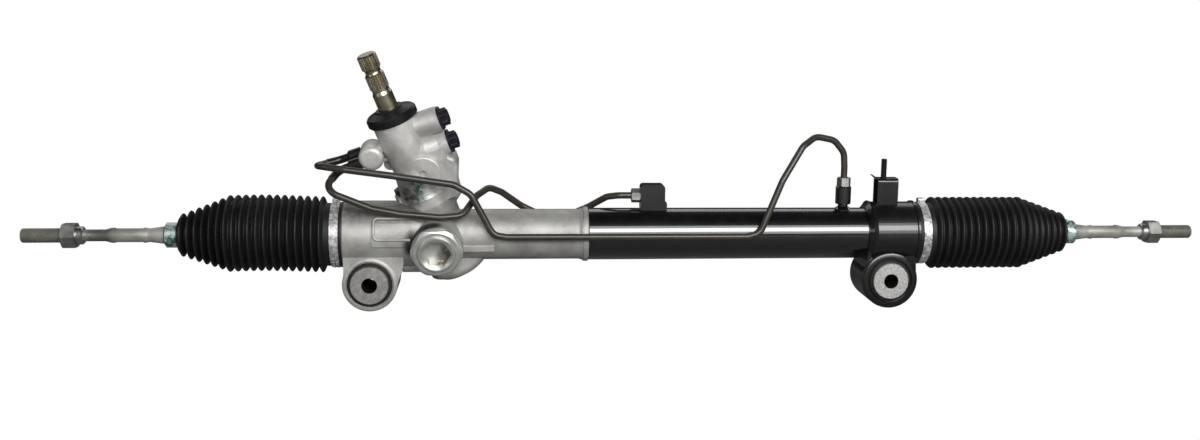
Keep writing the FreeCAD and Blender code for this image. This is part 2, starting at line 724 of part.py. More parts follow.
def cylinder_tube():
    end = RIGHT_END - END_LIP
    tube = turned(
        (
            (JOINT_X, TUBE_BORE_RADIUS),
            (JOINT_X, TUBE_RADIUS - 0.6),
            (JOINT_X + 0.6, TUBE_RADIUS),
            (end, TUBE_RADIUS),
            (end, TUBE_BORE_RADIUS),
        ),
        RACK,
    )
    far_port = frame(Vec(FAR_PORT_X, 0, RACK_HEIGHT), AXIS_X, AXIS_Z)
    union = turned(
        (
            (TUBE_BORE_RADIUS + 1, 0),
            (TUBE_BORE_RADIUS + 1, FAR_PORT_NECK_RADIUS + 4.5),
            (TUBE_RADIUS - 1, FAR_PORT_NECK_RADIUS + 4.5),
            (TUBE_RADIUS + 2, FAR_PORT_NECK_RADIUS),
            (FAR_PORT_BASE - 0.8, FAR_PORT_NECK_RADIUS),
            (FAR_PORT_BASE, FAR_PORT_RADIUS - 0.8),
            (FAR_PORT_BASE + 0.8, FAR_PORT_RADIUS),
            (FAR_PORT_TOP - 0.8, FAR_PORT_RADIUS),
            (FAR_PORT_TOP, FAR_PORT_RADIUS - 0.8),
            (FAR_PORT_TOP, 0),
        ),
        far_port,
    )
    half = NEAR_PORT_LENGTH / 2
    port_front = NEAR_PORT_SETBACK - NEAR_PORT_DEPTH / 2
    port_back = NEAR_PORT_SETBACK + NEAR_PORT_DEPTH / 2
    port_foot = RACK_HEIGHT + TUBE_BORE_RADIUS
    near_port = block(
        Vec(NEAR_PORT_X - half, port_front, port_foot),
        Vec(NEAR_PORT_X + half, port_back, RACK_HEIGHT + NEAR_PORT_TOP),
    )
    near_port = rounded_edges(near_port, NEAR_PORT_ROUND, is_line_along(AXIS_Y))
    lug = block(
        Vec(NEAR_PORT_X, port_front, port_foot),
        Vec(NEAR_PORT_X + half + 2, port_back, RACK_HEIGHT + TUBE_RADIUS + NEAR_PORT_LUG),
    )
    lug = rounded_edges(lug, 2, is_line_along(AXIS_Y))
    solid = tube.multiFuse([union, near_port, lug])
    inlet_z = RACK_HEIGHT + NEAR_PORT_INLET
    inlet_start = Vec(NEAR_PORT_X - half - 1, NEAR_PORT_SETBACK, inlet_z)
    drop_start = Vec(NEAR_PORT_X, NEAR_PORT_SETBACK, RACK_HEIGHT)
    cuts = [
        disc(LINE_RADIUS + SEAT_GAP, TUBE_BORE_RADIUS - 2, FAR_PORT_TOP + 1, far_port),
        Part.makeCylinder(LINE_RADIUS + SEAT_GAP, half + 1, inlet_start, AXIS_X),
        Part.makeCylinder(LINE_RADIUS, NEAR_PORT_INLET, drop_start, AXIS_Z),
        disc(TUBE_BORE_RADIUS, JOINT_X, end, RACK),
        bore_snap_ring_groove(),
    ]
    return solid.cut(cuts)


def bore_snap_ring_groove():
    start = RIGHT_END - END_LIP - 2 * SNAP_RING_WIDTH
    outer = TUBE_BORE_RADIUS + BORE_SNAP_RING_DEPTH
    return ring(TUBE_BORE_RADIUS - 1, outer, start, start + SNAP_RING_WIDTH + SEAT_GAP, RACK)


def right_bracket():
    bead_end = COLLAR_START + 2 * COLLAR_BEAD_WIDTH
    collar = turned(
        (
            (COLLAR_START, 0),
            (COLLAR_START, TUBE_RADIUS + 2.5),
            (COLLAR_START + 4, COLLAR_RADIUS),
            (bead_end - COLLAR_BEAD_WIDTH, COLLAR_RADIUS + COLLAR_BEAD),
            (bead_end, COLLAR_RADIUS),
            (RIGHT_SHOULDER - COLLAR_BEAD_WIDTH, COLLAR_RADIUS),
            (RIGHT_SHOULDER - COLLAR_BEAD_WIDTH + 1, COLLAR_RADIUS + COLLAR_BEAD),
            (RIGHT_SHOULDER - 1, COLLAR_RADIUS + COLLAR_BEAD),
            (RIGHT_SHOULDER, COLLAR_RADIUS),
            (RIGHT_SHOULDER, SPIGOT_RADIUS),
            (RIGHT_END - 1, SPIGOT_RADIUS),
            (RIGHT_END, SPIGOT_RADIUS - 1),
            (RIGHT_END, 0),
        ),
        RACK,
    )
    inset = 3.0
    web = upright(
        (
            (MOUNT_SPAN - RIGHT_EAR_RADIUS, 0),
            (MOUNT_SPAN + RIGHT_EAR_RADIUS, 0),
            (RIGHT_SHOULDER - COLLAR_BEAD_WIDTH, RACK_HEIGHT),
            (COLLAR_START + COLLAR_BEAD_WIDTH, RACK_HEIGHT),
        ),
        -EAR_FRONT + inset,
        EAR_BACK - inset,
    )
    solid = collar.multiFuse([ear(MOUNT_SPAN, RIGHT_EAR_RADIUS), web])
    cuts = [
        disc(TUBE_RADIUS + FIT, JOINT_X, RIGHT_END - END_LIP, RACK),
        disc(RACK_BORE_RADIUS, COLLAR_START, RIGHT_END + 1, RACK),
        bush_bore(MOUNT_SPAN),
    ]
    return solid.cut(cuts).removeSplitter()


def bush_frame(centre_x):
    """Frame of a mounting bore, with Z to the front."""
    return frame(Vec(centre_x, 0, 0), AXIS_X, AXIS_Y * -1)


def bush_rubber(centre_x):
    back = -EAR_BACK - BUSH_LIP
    front = EAR_FRONT + BUSH_LIP
    return turned(
        (
            (back, SLEEVE_RADIUS + FIT),
            (back, BUSH_LIP_RADIUS - 1),
            (back + 1, BUSH_LIP_RADIUS),
            (BUSH_LIP_DEPTH - EAR_BACK - FIT, BUSH_LIP_RADIUS),
            (BUSH_LIP_DEPTH - EAR_BACK - FIT, BUSH_RADIUS),
            (EAR_FRONT - BUSH_LIP_DEPTH + FIT, BUSH_RADIUS),
            (EAR_FRONT - BUSH_LIP_DEPTH + FIT, BUSH_LIP_RADIUS),
            (front - 1, BUSH_LIP_RADIUS),
            (front, BUSH_LIP_RADIUS - 1),
            (front, SLEEVE_RADIUS + FIT),
        ),
        bush_frame(centre_x),
    )


def bush_sleeve(centre_x):
    """Steel inner sleeve with the large washer that is seen from the front."""
    flange_back = EAR_FRONT + BUSH_LIP
    return turned(
        (
            (-SLEEVE_BACK, SLEEVE_BORE_RADIUS),
            (-SLEEVE_BACK, SLEEVE_RADIUS),
            (flange_back, SLEEVE_RADIUS),
            (flange_back, BUSH_FLANGE_RADIUS),
            (SLEEVE_FRONT - 0.6, BUSH_FLANGE_RADIUS),
            (SLEEVE_FRONT, BUSH_FLANGE_RADIUS - 0.6),
            (SLEEVE_FRONT, SLEEVE_BORE_RADIUS),
        ),
        bush_frame(centre_x),
    )


def rear_washer(centre_x):
    inner = SLEEVE_RADIUS + FIT
    return ring(inner, REAR_WASHER_RADIUS, -SLEEVE_BACK, -EAR_BACK - BUSH_LIP, bush_frame(centre_x))


def is_web_corner(edge):
    """Bends of the outer side of the web, between its foot and its shoulder."""
    box = edge.BoundBox
    shoulder = PORT_HEIGHTS[1] - PORT_RADIUS
    return box.YLength > 1 and box.XMin > PORT_REACH - 7 and SPLIT_Z + 1 < box.ZMin < shoulder - 1


def is_web_rim(edge):
    """Front and back edges of the outer side of the web, below its shoulder."""
    box = edge.BoundBox
    shoulder = PORT_HEIGHTS[1] - PORT_RADIUS
    return box.YLength < 1e-6 and box.XMin > PORT_REACH - 9 and box.ZMax < shoulder - 1


def is_front_rim(edge):
    """Front edge of the round boss on the front of the valve housing."""
    return edge.Closed and edge.BoundBox.YMax < 1 - FRONT_BOSS_REACH


def port_boss(height, root_radius):
    """Hose port that swells where it runs into the barrel."""
    profile = (
        (0, 0),
        (0, root_radius),
        (BARREL_TOP_RADIUS - 2, root_radius),
        (PORT_REACH - PORT_COLLAR, PORT_RADIUS),
        (PORT_REACH - 1, PORT_RADIUS),
        (PORT_REACH, PORT_RADIUS - 1),
        (PORT_REACH, 0),
    )
    return turned(profile, frame(Vec(0, 0, height), AXIS_Z, AXIS_X))


def valve_housing():
    flange_top = SPLIT_Z + FLANGE_HEIGHT
    barrel = turned(
        (
            (SPLIT_Z, 0),
            (SPLIT_Z, BARREL_FOOT_RADIUS + 1.5),
            (flange_top, BARREL_FOOT_RADIUS + 1.5),
            (flange_top + 3, BARREL_FOOT_RADIUS),
            (BARREL_WAIST_Z, BARREL_WAIST_RADIUS),
            (BARREL_SHOULDER_Z, BARREL_TOP_RADIUS),
            (BARREL_TOP_Z, BARREL_TOP_RADIUS),
            (BARREL_TOP_Z, 0),
        ),
        LOCAL,
    )
    web_right = PORT_REACH - 6
    web_shoulder = PORT_HEIGHTS[1] - PORT_RADIUS
    web = upright(
        (
            (0, SPLIT_Z),
            (web_right - 1, SPLIT_Z),
            (web_right, flange_top),
            (PORT_REACH + WEB_BULGE, flange_top + WEB_BULGE_RISE),
            (PORT_REACH + WEB_BULGE, web_shoulder - 2),
            (PORT_REACH - WEB_CORNER, web_shoulder + 5),
            (PORT_REACH - WEB_CORNER, PORT_HEIGHTS[1]),
            (0, PORT_HEIGHTS[1]),
        ),
        -WEB_HALF_THICKNESS,
        WEB_HALF_THICKNESS,
    )
    web = rounded_edges(web, WEB_CORNER, is_web_corner)
    web = rounded_edges(web, WEB_ROUND, is_web_rim)
    boss_foot = Vec(FRONT_BOSS_X, 0, FRONT_BOSS_Z)
    front_boss = Part.makeCylinder(FRONT_BOSS_RADIUS, FRONT_BOSS_REACH, boss_foot, AXIS_Y * -1)
    front_boss = rounded_edges(front_boss, FRONT_BOSS_ROUND, is_front_rim)
    pieces = [web, front_boss, flange_plate(SPLIT_Z, flange_top, 0)]
    pieces += [port_boss(height, root) for height, root in zip(PORT_HEIGHTS, PORT_ROOT_RADII)]
    line_boss = Part.makeCylinder(
        LINE_BOSS_RADIUS,
        LINE_BOSS_FRONT + LINE_BOSS_BACK,
        Vec(LINE_BOSS_X, -LINE_BOSS_FRONT, LINE_BOSS_Z),
        AXIS_Y,
    )
    line_boss = line_boss.makeFillet(4.5, [edge for edge in line_boss.Edges if edge.Closed])
    bridge_half = LINE_BOSS_RADIUS - 4
    bridge = block(
        Vec(LINE_BOSS_X, -bridge_half, LINE_BOSS_Z - bridge_half),
        Vec(0, bridge_half + 4, LINE_BOSS_Z + bridge_half),
    )
    foot_boss = Part.makeCylinder(
        LINE_BOSS_RADIUS / 2,
        LINE_BOSS_BACK,
        Vec(LINE_BOSS_X + 12, 0, LINE_BOSS_Z - 15),
        AXIS_Y,
    )
    solid = barrel.multiFuse(pieces + [line_boss, bridge, foot_boss])
    dimple_floor = Vec(FRONT_BOSS_X, FRONT_DIMPLE_DEPTH - FRONT_BOSS_REACH, FRONT_BOSS_Z)
    dimple = Part.makeCylinder(FRONT_DIMPLE_RADIUS, FRONT_BOSS_REACH, dimple_floor, AXIS_Y * -1)
    cuts = [
        dimple,
        disc(UPPER_BEARING_RADIUS + FIT, SPLIT_Z - 1, VALVE_BORE_BOTTOM, LOCAL),
        disc(VALVE_BORE_RADIUS, VALVE_BORE_BOTTOM, VALVE_BORE_TOP, LOCAL),
        disc(INPUT_BEARING_RADIUS + FIT, VALVE_BORE_TOP, BARREL_TOP_Z + 1, LOCAL),
        disc(INPUT_SEAL_RADIUS + FIT, BARREL_TOP_Z - INPUT_SEAL_WIDTH, BARREL_TOP_Z + 1, LOCAL),
    ]
    for height in PORT_HEIGHTS:
        mouth = Vec(PORT_REACH - PORT_THREAD_DEPTH, 0, height)
        cuts.append(Part.makeCylinder(PORT_THREAD_RADIUS, PORT_THREAD_DEPTH + 2, mouth, AXIS_X))
        cuts.append(Part.makeCylinder(PORT_DRILL_RADIUS, PORT_REACH, Vec(0, 0, height), AXIS_X))
    for y, height in LINE_PORTS:
        face = Vec(LINE_FACE_X, y, height)
        cuts.append(Part.makeCylinder(LINE_NUT_RADIUS + 1, LINE_BOSS_RADIUS, face, AXIS_X * -1))
        cuts.append(Part.makeCylinder(LINE_RADIUS + SEAT_GAP, 2 * LINE_BOSS_RADIUS, face, AXIS_X))
    for x, y in BOLT_POINTS:
        cuts.append(disc(BOLT_RADIUS + SEAT_GAP, SPLIT_Z - 1, flange_top + 1, LOCAL, x, y))
        cuts.append(disc(BOLT_EAR_RADIUS, flange_top, flange_top + BOLT_HEAD_ROOM, LOCAL, x, y))
    return placed(solid.cut(cuts), PINION)


def valve_housing_bolts():
    flange_top = SPLIT_Z + FLANGE_HEIGHT
    bolts = []
    for x, y in BOLT_POINTS:
        at = frame(pinion_point(x, y, 0), ACROSS_PINION, PINION_DIRECTION)
        head = hexagon(BOLT_FLATS, flange_top, flange_top + BOLT_HEAD, at)
        shank = disc(BOLT_RADIUS, SPLIT_Z - BOLT_GRIP, flange_top, at)
        bolts.append(head.fuse(shank))
    return Part.makeCompound(bolts)


def dust_cover():
    inner = BARREL_TOP_RADIUS + FIT
    crown = BARREL_TOP_Z + COVER_HEIGHT
    hole = INPUT_RADIUS + 0.3
    return turned(
        (
            (BARREL_TOP_Z - COVER_SKIRT, inner),
            (BARREL_TOP_Z - COVER_SKIRT, COVER_RADIUS - 1.2),
            (BARREL_TOP_Z - COVER_SKIRT + 1.5, COVER_RADIUS),
            (BARREL_TOP_Z + 3.5, COVER_RADIUS),
            (BARREL_TOP_Z + 5.5, COVER_RADIUS - 1.6),
            (crown - 1.5, COVER_CROWN_RADIUS),
            (crown, COVER_CROWN_RADIUS - 1.2),
            (crown, hole),
            (crown - 3, hole),
            (crown - 3, COVER_CROWN_RADIUS - 2),
            (BARREL_TOP_Z + 3, COVER_CROWN_RADIUS),
            (BARREL_TOP_Z + SEAT_GAP, INPUT_SEAL_RADIUS),
            (BARREL_TOP_Z + SEAT_GAP, inner),
        ),
        PINION,
    )


def port_plugs():
    plugs = []
    for height in PORT_HEIGHTS:
        at = frame(pinion_point(PORT_REACH, 0, height), PINION_DIRECTION, ACROSS_PINION)
        plug = turned(
            (
                (-PORT_THREAD_DEPTH + 2, 0),
                (-PORT_THREAD_DEPTH + 2, PORT_THREAD_RADIUS - SEAT_GAP),
                (FIT, PORT_THREAD_RADIUS - SEAT_GAP),
                (FIT, PLUG_RIM_RADIUS),
                (PLUG_RIM - 0.6, PLUG_RIM_RADIUS),
                (PLUG_RIM, PLUG_RIM_RADIUS - 0.6),
                (PLUG_RIM, PLUG_CORE_RADIUS),
                (PLUG_RIM + PLUG_GRIP, PLUG_CORE_RADIUS),
                (PLUG_RIM + PLUG_GRIP, 0),
            ),
            at,
        )
        lobes = []
        for step in range(PLUG_LOBES):
            turn = 2 * math.pi * step / PLUG_LOBES
            x = PLUG_CORE_RADIUS * math.cos(turn)
            y = PLUG_CORE_RADIUS * math.sin(turn)
            lobes.append(disc(PLUG_LOBE_RADIUS, PLUG_RIM - 0.5, PLUG_RIM + PLUG_GRIP - 0.8, at, x, y))
        plugs.append(plug.multiFuse(lobes))
    return Part.makeCompound(plugs)


def input_seal():
    return ring(INPUT_RADIUS + FIT, INPUT_SEAL_RADIUS, BARREL_TOP_Z - INPUT_SEAL_WIDTH, BARREL_TOP_Z, PINION)


def input_bearing():
    top = BARREL_TOP_Z - INPUT_SEAL_WIDTH
    return ring(INPUT_RADIUS + FIT, INPUT_BEARING_RADIUS, VALVE_BORE_TOP, top, PINION)


def upper_bearing_outer():
    """Outer race with its two shields."""
    top = SPLIT_Z + UPPER_BEARING_HEIGHT
    inner_race = UPPER_BEARING_INNER_RADIUS + FIT + RACE_WALL
    shield = 1.0
    inner = inner_race + 0.3
    wall = UPPER_BEARING_RADIUS - RACE_WALL
    return turned(
        (
            (SPLIT_Z, UPPER_BEARING_RADIUS),
            (SPLIT_Z, inner),
            (SPLIT_Z + shield, inner),
            (SPLIT_Z + shield, wall),
            (top - shield, wall),
            (top - shield, inner),
            (top, inner),
            (top, UPPER_BEARING_RADIUS),
        ),
        PINION,
    )


def upper_bearing_inner():
    inner = UPPER_BEARING_INNER_RADIUS + FIT
    top = SPLIT_Z + UPPER_BEARING_HEIGHT
    return ring(inner, inner + RACE_WALL, SPLIT_Z, top, PINION)


def lower_bearing():
    return ring(JOURNAL_RADIUS + FIT, NEEDLE_SHELL_RADIUS, JOURNAL_BOTTOM, JOURNAL_TOP, PINION)


def lower_plug():
    """Plug that closes the pinion's bore from below."""
    cavity = PINION_NUT_FLATS / math.sqrt(3) + 1.5
    rim = BARREL_BOTTOM - LOWER_PLUG_FLANGE
    plug = turned(
        (
            (JOURNAL_BOTTOM - SEAT_GAP, LOWER_PLUG_RADIUS),
            (JOURNAL_BOTTOM - SEAT_GAP, cavity),
            (rim + 2.5, cavity),
            (rim + 2.5, 0),
            (rim, 0),
            (rim, LOWER_PLUG_FLANGE_RADIUS - 1),
            (rim + 1, LOWER_PLUG_FLANGE_RADIUS),
            (BARREL_BOTTOM, LOWER_PLUG_FLANGE_RADIUS),
            (BARREL_BOTTOM, LOWER_PLUG_RADIUS),
        ),
        PINION,
    )
    return plug.cut(hexagon(PINION_NUT_FLATS, rim - 1, rim + 1.5, PINION))


def rack_guide():
    end = GUIDE_START + GUIDE_LENGTH
    guide = disc(GUIDE_BORE_RADIUS - FIT, GUIDE_START, end, GUIDE)
    pocket = disc(GUIDE_SPRING_RADIUS + 0.5, end - 2, end + 1, GUIDE)
    saddle_radius = RACK_RADIUS + FIT + LINER_THICKNESS + FIT
    saddle = disc(saddle_radius, PINION_X - REACH / 8, PINION_X + REACH / 8, RACK)
    return guide.cut([pocket, saddle])


def rack_guide_liner():
    inner = RACK_RADIUS + FIT
    start = PINION_X - GUIDE_BORE_RADIUS
    shell = ring(inner, inner + LINER_THICKNESS, start, PINION_X + GUIDE_BORE_RADIUS, RACK)
    reach = 2 * BODY_RADIUS
    half = reach * math.tan(math.radians(LINER_HALF_ANGLE))
    wedge = prism(
        ((0, 0), (reach, -half), (reach, half)),
        REACH / 4,
        MESH_POINT - AXIS_X * (REACH / 8),
        TO_PINION * -1,
        AXIS_X,
    )
    bore = disc(GUIDE_BORE_RADIUS - SEAT_GAP, 0, GUIDE_BOSS_END, GUIDE)
    return shell.common(wedge).common(bore)


def rack_guide_spring():
    """Disc spring between the guide and its plug."""
    start = GUIDE_START + GUIDE_LENGTH - 2
    return turned(
        (
            (start, GUIDE_SPRING_RADIUS),
            (start + GUIDE_SPRING_PLATE, GUIDE_SPRING_RADIUS),
            (start + GUIDE_SPRING_RISE + GUIDE_SPRING_PLATE, GUIDE_SPRING_HOLE),
            (start + GUIDE_SPRING_RISE, GUIDE_SPRING_HOLE),
        ),
        GUIDE,
    )


def rack_guide_plug():
    start = GUIDE_START + GUIDE_LENGTH + GUIDE_SPRING_RISE + GUIDE_SPRING_PLATE - 2
    lead = GUIDE_PLUG_END - GUIDE_PLUG_LEAD
    plug = turned(
        (
            (start, 0),
            (start, GUIDE_BORE_RADIUS - FIT),
            (GUIDE_PLUG_END - 1, GUIDE_BORE_RADIUS - FIT),
            (GUIDE_PLUG_END, GUIDE_BORE_RADIUS - 1),
            (GUIDE_PLUG_END, GUIDE_PLUG_LEAD_RADIUS),
            (lead, GUIDE_PLUG_HEX_FLATS / 2),
            (lead, 0),
        ),
        GUIDE,
    )
    floor = lead - GUIDE_PLUG_HEX_DEPTH
    return plug.cut(hexagon(GUIDE_PLUG_HEX_FLATS, floor, GUIDE_PLUG_END + 1, GUIDE))


def rack_guide_lock_ring():
    """Hexagon lock nut on the plug, with its corners turned off."""
    end = GUIDE_BOSS_END + LOCK_RING_HEIGHT
    inner = GUIDE_BORE_RADIUS + SEAT_GAP
    blank = turned(
        (
            (GUIDE_BOSS_END, inner),
            (GUIDE_BOSS_END, LOCK_RING_RADIUS),
            (end - LOCK_RING_BEVEL, LOCK_RING_RADIUS),
            (end, LOCK_RING_RADIUS - 2 * LOCK_RING_BEVEL),
            (end, inner),
        ),
        GUIDE,
    )
    return blank.common(hexagon(LOCK_RING_FLATS, GUIDE_BOSS_END, end, GUIDE))


def inner_rack_seal():
    start = JOINT_X + JOINT_SPIGOT_LENGTH + FIT
    return ring(RACK_RADIUS + FIT, TUBE_BORE_RADIUS - FIT, start, start + SEAL_WIDTH, RACK)


def inner_seal_backer():
    start = JOINT_X + JOINT_SPIGOT_LENGTH + FIT + SEAL_WIDTH
    inner = RACK_RADIUS + 0.3
    return ring(inner, TUBE_BORE_RADIUS - FIT, start, start + SEAL_BACKER_WIDTH, RACK)


def snap_ring_start():
    return RIGHT_END - END_LIP - 2 * SNAP_RING_WIDTH


def rack_bushing():
    end = snap_ring_start() - OUTER_SEAL_WIDTH
    return ring(RACK_RADIUS + FIT, TUBE_BORE_RADIUS - FIT, end - BUSHING_LENGTH, end, RACK)


def outer_rack_seal():
    end = snap_ring_start()
    return ring(RACK_RADIUS + FIT, TUBE_BORE_RADIUS - FIT, end - OUTER_SEAL_WIDTH, end, RACK)


def bushing_snap_ring():
    start = snap_ring_start() + FIT
    outer = TUBE_BORE_RADIUS + BORE_SNAP_RING_DEPTH - FIT
    circlip = ring(BORE_SNAP_RING_INNER, outer, start, start + SNAP_RING_WIDTH, RACK)
    gap = block(
        Vec(start - 1, -4, RACK_HEIGHT),
        Vec(start + SNAP_RING_WIDTH + 1, 4, RACK_HEIGHT + 2 * TUBE_RADIUS),
    )
    return circlip.cut(gap)


def short_line_route():
    """Line from the valve housing to the near end of the cylinder."""
    y, z = LINE_PORTS[1]
    inlet_z = RACK_HEIGHT + NEAR_PORT_INLET
    inlet_x = NEAR_PORT_X - NEAR_PORT_LENGTH / 2
    route = [pinion_point(LINE_FACE_X + LINE_ENTRY, y, z), pinion_point(LINE_CORNER_X, y, z)]
    route += [Vec(*bend) for bend in SHORT_LINE_BENDS]
    route += [Vec(NEAR_PORT_X + x, y, z) for x, y, z in SHORT_LINE_NEAR_PORT_BENDS]
    route.append(Vec(NEAR_PORT_X - LINE_LEAD_IN, NEAR_PORT_SETBACK, inlet_z))
    route.append(Vec(inlet_x + LINE_ENTRY, NEAR_PORT_SETBACK, inlet_z))
    return route


def long_line_route():
    """Line from the valve housing along the front to the far end of the cylinder."""
    y, z = LINE_PORTS[0]
    front = -(TUBE_RADIUS + LINE_RADIUS + LINE_FRONT_GAP)
    seat = RACK_HEIGHT + FAR_PORT_TOP
    route = [pinion_point(LINE_FACE_X + LINE_ENTRY, y, z), pinion_point(LINE_CORNER_X, y, z)]
    route += [Vec(*bend) for bend in LONG_LINE_BENDS]
    route += [Vec(x, front, z) for x, z in LONG_LINE_FRONT_BENDS]
    route += [Vec(FAR_PORT_X + x, front, z) for x, z in LONG_LINE_RISE]
    route += [Vec(FAR_PORT_X + x, y, z) for x, y, z in LONG_LINE_FAR_PORT_BENDS]
    route.append(Vec(FAR_PORT_X, 0, seat - LINE_ENTRY))
    return route


def long_pressure_line():
    return bent_tube(long_line_route(), LINE_RADIUS, LINE_BEND)


def short_pressure_line():
    return bent_tube(short_line_route(), LINE_RADIUS, LINE_BEND)


def valve_line_nuts():
    nuts = []
    for y, z in LINE_PORTS:
        at = frame(pinion_point(LINE_FACE_X, y, z), PINION_DIRECTION, ACROSS_PINION * -1)
        nut = turned(
            (
                (FIT, LINE_RADIUS + FIT),
                (FIT, LINE_NUT_RADIUS),
                (LINE_NUT_LENGTH - 2, LINE_NUT_RADIUS),
                (LINE_NUT_LENGTH, LINE_RADIUS + 0.8),
                (LINE_NUT_LENGTH, LINE_RADIUS + FIT),
            ),
            at,
        )
        nuts.append(nut)
    return Part.makeCompound(nuts)


def cylinder_line_nuts():
    inlet = Vec(
        NEAR_PORT_X - NEAR_PORT_LENGTH / 2,
        NEAR_PORT_SETBACK,
        RACK_HEIGHT + NEAR_PORT_INLET,
    )
    seats = (
        frame(inlet, AXIS_Z, AXIS_X * -1),
        frame(Vec(FAR_PORT_X, 0, RACK_HEIGHT + FAR_PORT_TOP), AXIS_X, AXIS_Z),
    )
    bore = LINE_RADIUS + FIT
    nuts = [hex_nut(PORT_NUT_FLATS, bore, FIT, PORT_NUT_LENGTH, seat) for seat in seats]
    return Part.makeCompound(nuts)


def line_bracket():
    left = MOUNT_SPAN - BRACKET_WIDTH / 2
    right = MOUNT_SPAN + BRACKET_WIDTH / 2
    front = -BRACKET_DEPTH / 2
    top = RACK_HEIGHT + BRACKET_HEIGHT
    foot = RACK_HEIGHT + math.sqrt(COLLAR_RADIUS ** 2 - (front + PLATE) ** 2) - 1.5
    outside = block(Vec(left, front, foot), Vec(right, -front, top))
    inside = block(
        Vec(left - 1, front + PLATE, foot - 1),
        Vec(right + 1, -front - PLATE, top - PLATE),
    )
    outside = rounded_edges(outside, BRACKET_BEND, is_bracket_bend)
    inside = rounded_edges(inside, BRACKET_BEND - PLATE, is_bracket_bend)
    tongue = upright(
        (
            (left + 2, top),
            (left + 2, top - PLATE),
            (left, top - PLATE),
            (left - TONGUE_REACH, top + TONGUE_RISE - 0.8),
            (left - TONGUE_REACH, top + TONGUE_RISE),
            (left, top),
        ),
        -TONGUE_WIDTH / 2,
        TONGUE_WIDTH / 2,
    )
    shape = outside.cut(inside).fuse(tongue)
    collar = disc(COLLAR_RADIUS + FIT, COLLAR_START, RIGHT_SHOULDER, RACK)
    foot_of_hole = Vec(MOUNT_SPAN + STUD_OFFSET, 0, top - BRACKET_BEND)
    hole = Part.makeCylinder(STUD_ROOT_RADIUS + FIT, BRACKET_HEIGHT, foot_of_hole, AXIS_Z)
    return shape.cut([collar, hole]).removeSplitter()


def is_bracket_bend(edge):
    """Upper front and back edges of a box on the collar."""
    box = edge.BoundBox
    return box.XLength > 1 and box.ZMin > RACK_HEIGHT + BRACKET_HEIGHT - PLATE - 1


def bracket_stud():
    top = RACK_HEIGHT + BRACKET_HEIGHT
    at = frame(Vec(MOUNT_SPAN + STUD_OFFSET, 0, 0), AXIS_X, AXIS_Z)
    under = top - PLATE - FIT
    stud = turned(
        (
            (under - 1, 0),
            (under - 1, STUD_ROOT_RADIUS),
            (top, STUD_ROOT_RADIUS),
            (top, STUD_RADIUS_AT_THREAD),
            (RACK_HEIGHT + STUD_TOP - 0.8, STUD_RADIUS_AT_THREAD),
            (RACK_HEIGHT + STUD_TOP, STUD_RADIUS_AT_THREAD - 0.8),
            (RACK_HEIGHT + STUD_TOP, 0),
        ),
        at,
    )
    return stud.fuse(hexagon(STUD_NUT_FLATS, under - STUD_NUT_HEIGHT, under, at))


def boot_frame(shoulder, outward):
    """Frame at a housing shoulder, with Z along the boot away from the housing."""
    return frame(Vec(shoulder, 0, RACK_HEIGHT), AXIS_Y, AXIS_X * outward)


def crest_radius(index):
    """Crests shrink in a straight cone towards the rod."""
    from_small_end = CRESTS - 1 - index
    if from_small_end >= CONE_CRESTS:
        return CREST_RADIUS
    share = from_small_end / CONE_CRESTS
    return SMALL_CREST_RADIUS + share * (CREST_RADIUS - SMALL_CREST_RADIUS)


def boot(shoulder, clip_x, outward):
    length = abs(clip_x - shoulder)
    first = FIRST_CREST
    last = length - LAST_CREST
    pitch = (last - first) / (CRESTS - 1)
    sleeve_start = length - CLIP_WIDTH / 2 - 1
    outer = [
        (0.1, BOOT_NECK_RADIUS + 1.2),
        (BOOT_LIP, BOOT_NECK_RADIUS + 1.2),
        (BOOT_LIP, BOOT_NECK_RADIUS),
        (first - pitch / 2, BOOT_NECK_RADIUS),
    ]
    for index in range(CRESTS):
        at = first + index * pitch
        radius = crest_radius(index)
        outer.append((at, radius))
        if index < CRESTS - 1:
            valley = (radius + crest_radius(index + 1)) / 2 - CREST_DEPTH
            outer.append((at + pitch / 2, valley))
    outer.append((sleeve_start - 1, BOOT_END_RADIUS + 3))
    outer.append((sleeve_start, BOOT_END_RADIUS))
    outer.append((length + CLIP_WIDTH / 2 + 1, BOOT_END_RADIUS))
    cone_start = first + (CRESTS - 1 - CONE_CRESTS) * pitch
    neck = BOOT_SEAT_RADIUS + SEAT_GAP
    inner = [
        (length + CLIP_WIDTH / 2 + 1, neck),
        (sleeve_start, neck),
        (last, SMALL_CREST_RADIUS - CREST_DEPTH - BOOT_WALL),
        (cone_start, CREST_RADIUS - CREST_DEPTH - BOOT_WALL),
        (first, CREST_RADIUS - CREST_DEPTH - BOOT_WALL),
        (first - pitch / 2, SPIGOT_RADIUS + SEAT_GAP),
        (0.1, SPIGOT_RADIUS + SEAT_GAP),
    ]
    return turned(outer + inner, boot_frame(shoulder, outward))


def boot_clamp(shoulder, outward):
    at = boot_frame(shoulder, outward)
    inner = BOOT_NECK_RADIUS + SEAT_GAP
    band = ring(inner, inner + CLAMP_THICKNESS, CLAMP_START, CLAMP_START + CLAMP_WIDTH, at)
    outer = RACK_HEIGHT + inner + CLAMP_THICKNESS
    middle = shoulder + outward * (CLAMP_START + CLAMP_WIDTH / 2)
    half = CLAMP_EAR / 2
    ear_foot = outer - CLAMP_THICKNESS / 2
    ear_block = block(
        Vec(middle - half, -half, ear_foot),
        Vec(middle + half, half, outer + CLAMP_EAR_RISE),
    )
    ear_block = rounded_edges(ear_block, 1.5, lambda edge: edge.BoundBox.ZMin > outer)
    slot = block(
        Vec(middle - half - 1, -half + 1.2, ear_foot),
        Vec(middle + half + 1, half - 1.2, outer + CLAMP_EAR_RISE - 1.2),
    )
    return band.fuse(ear_block).cut(slot)


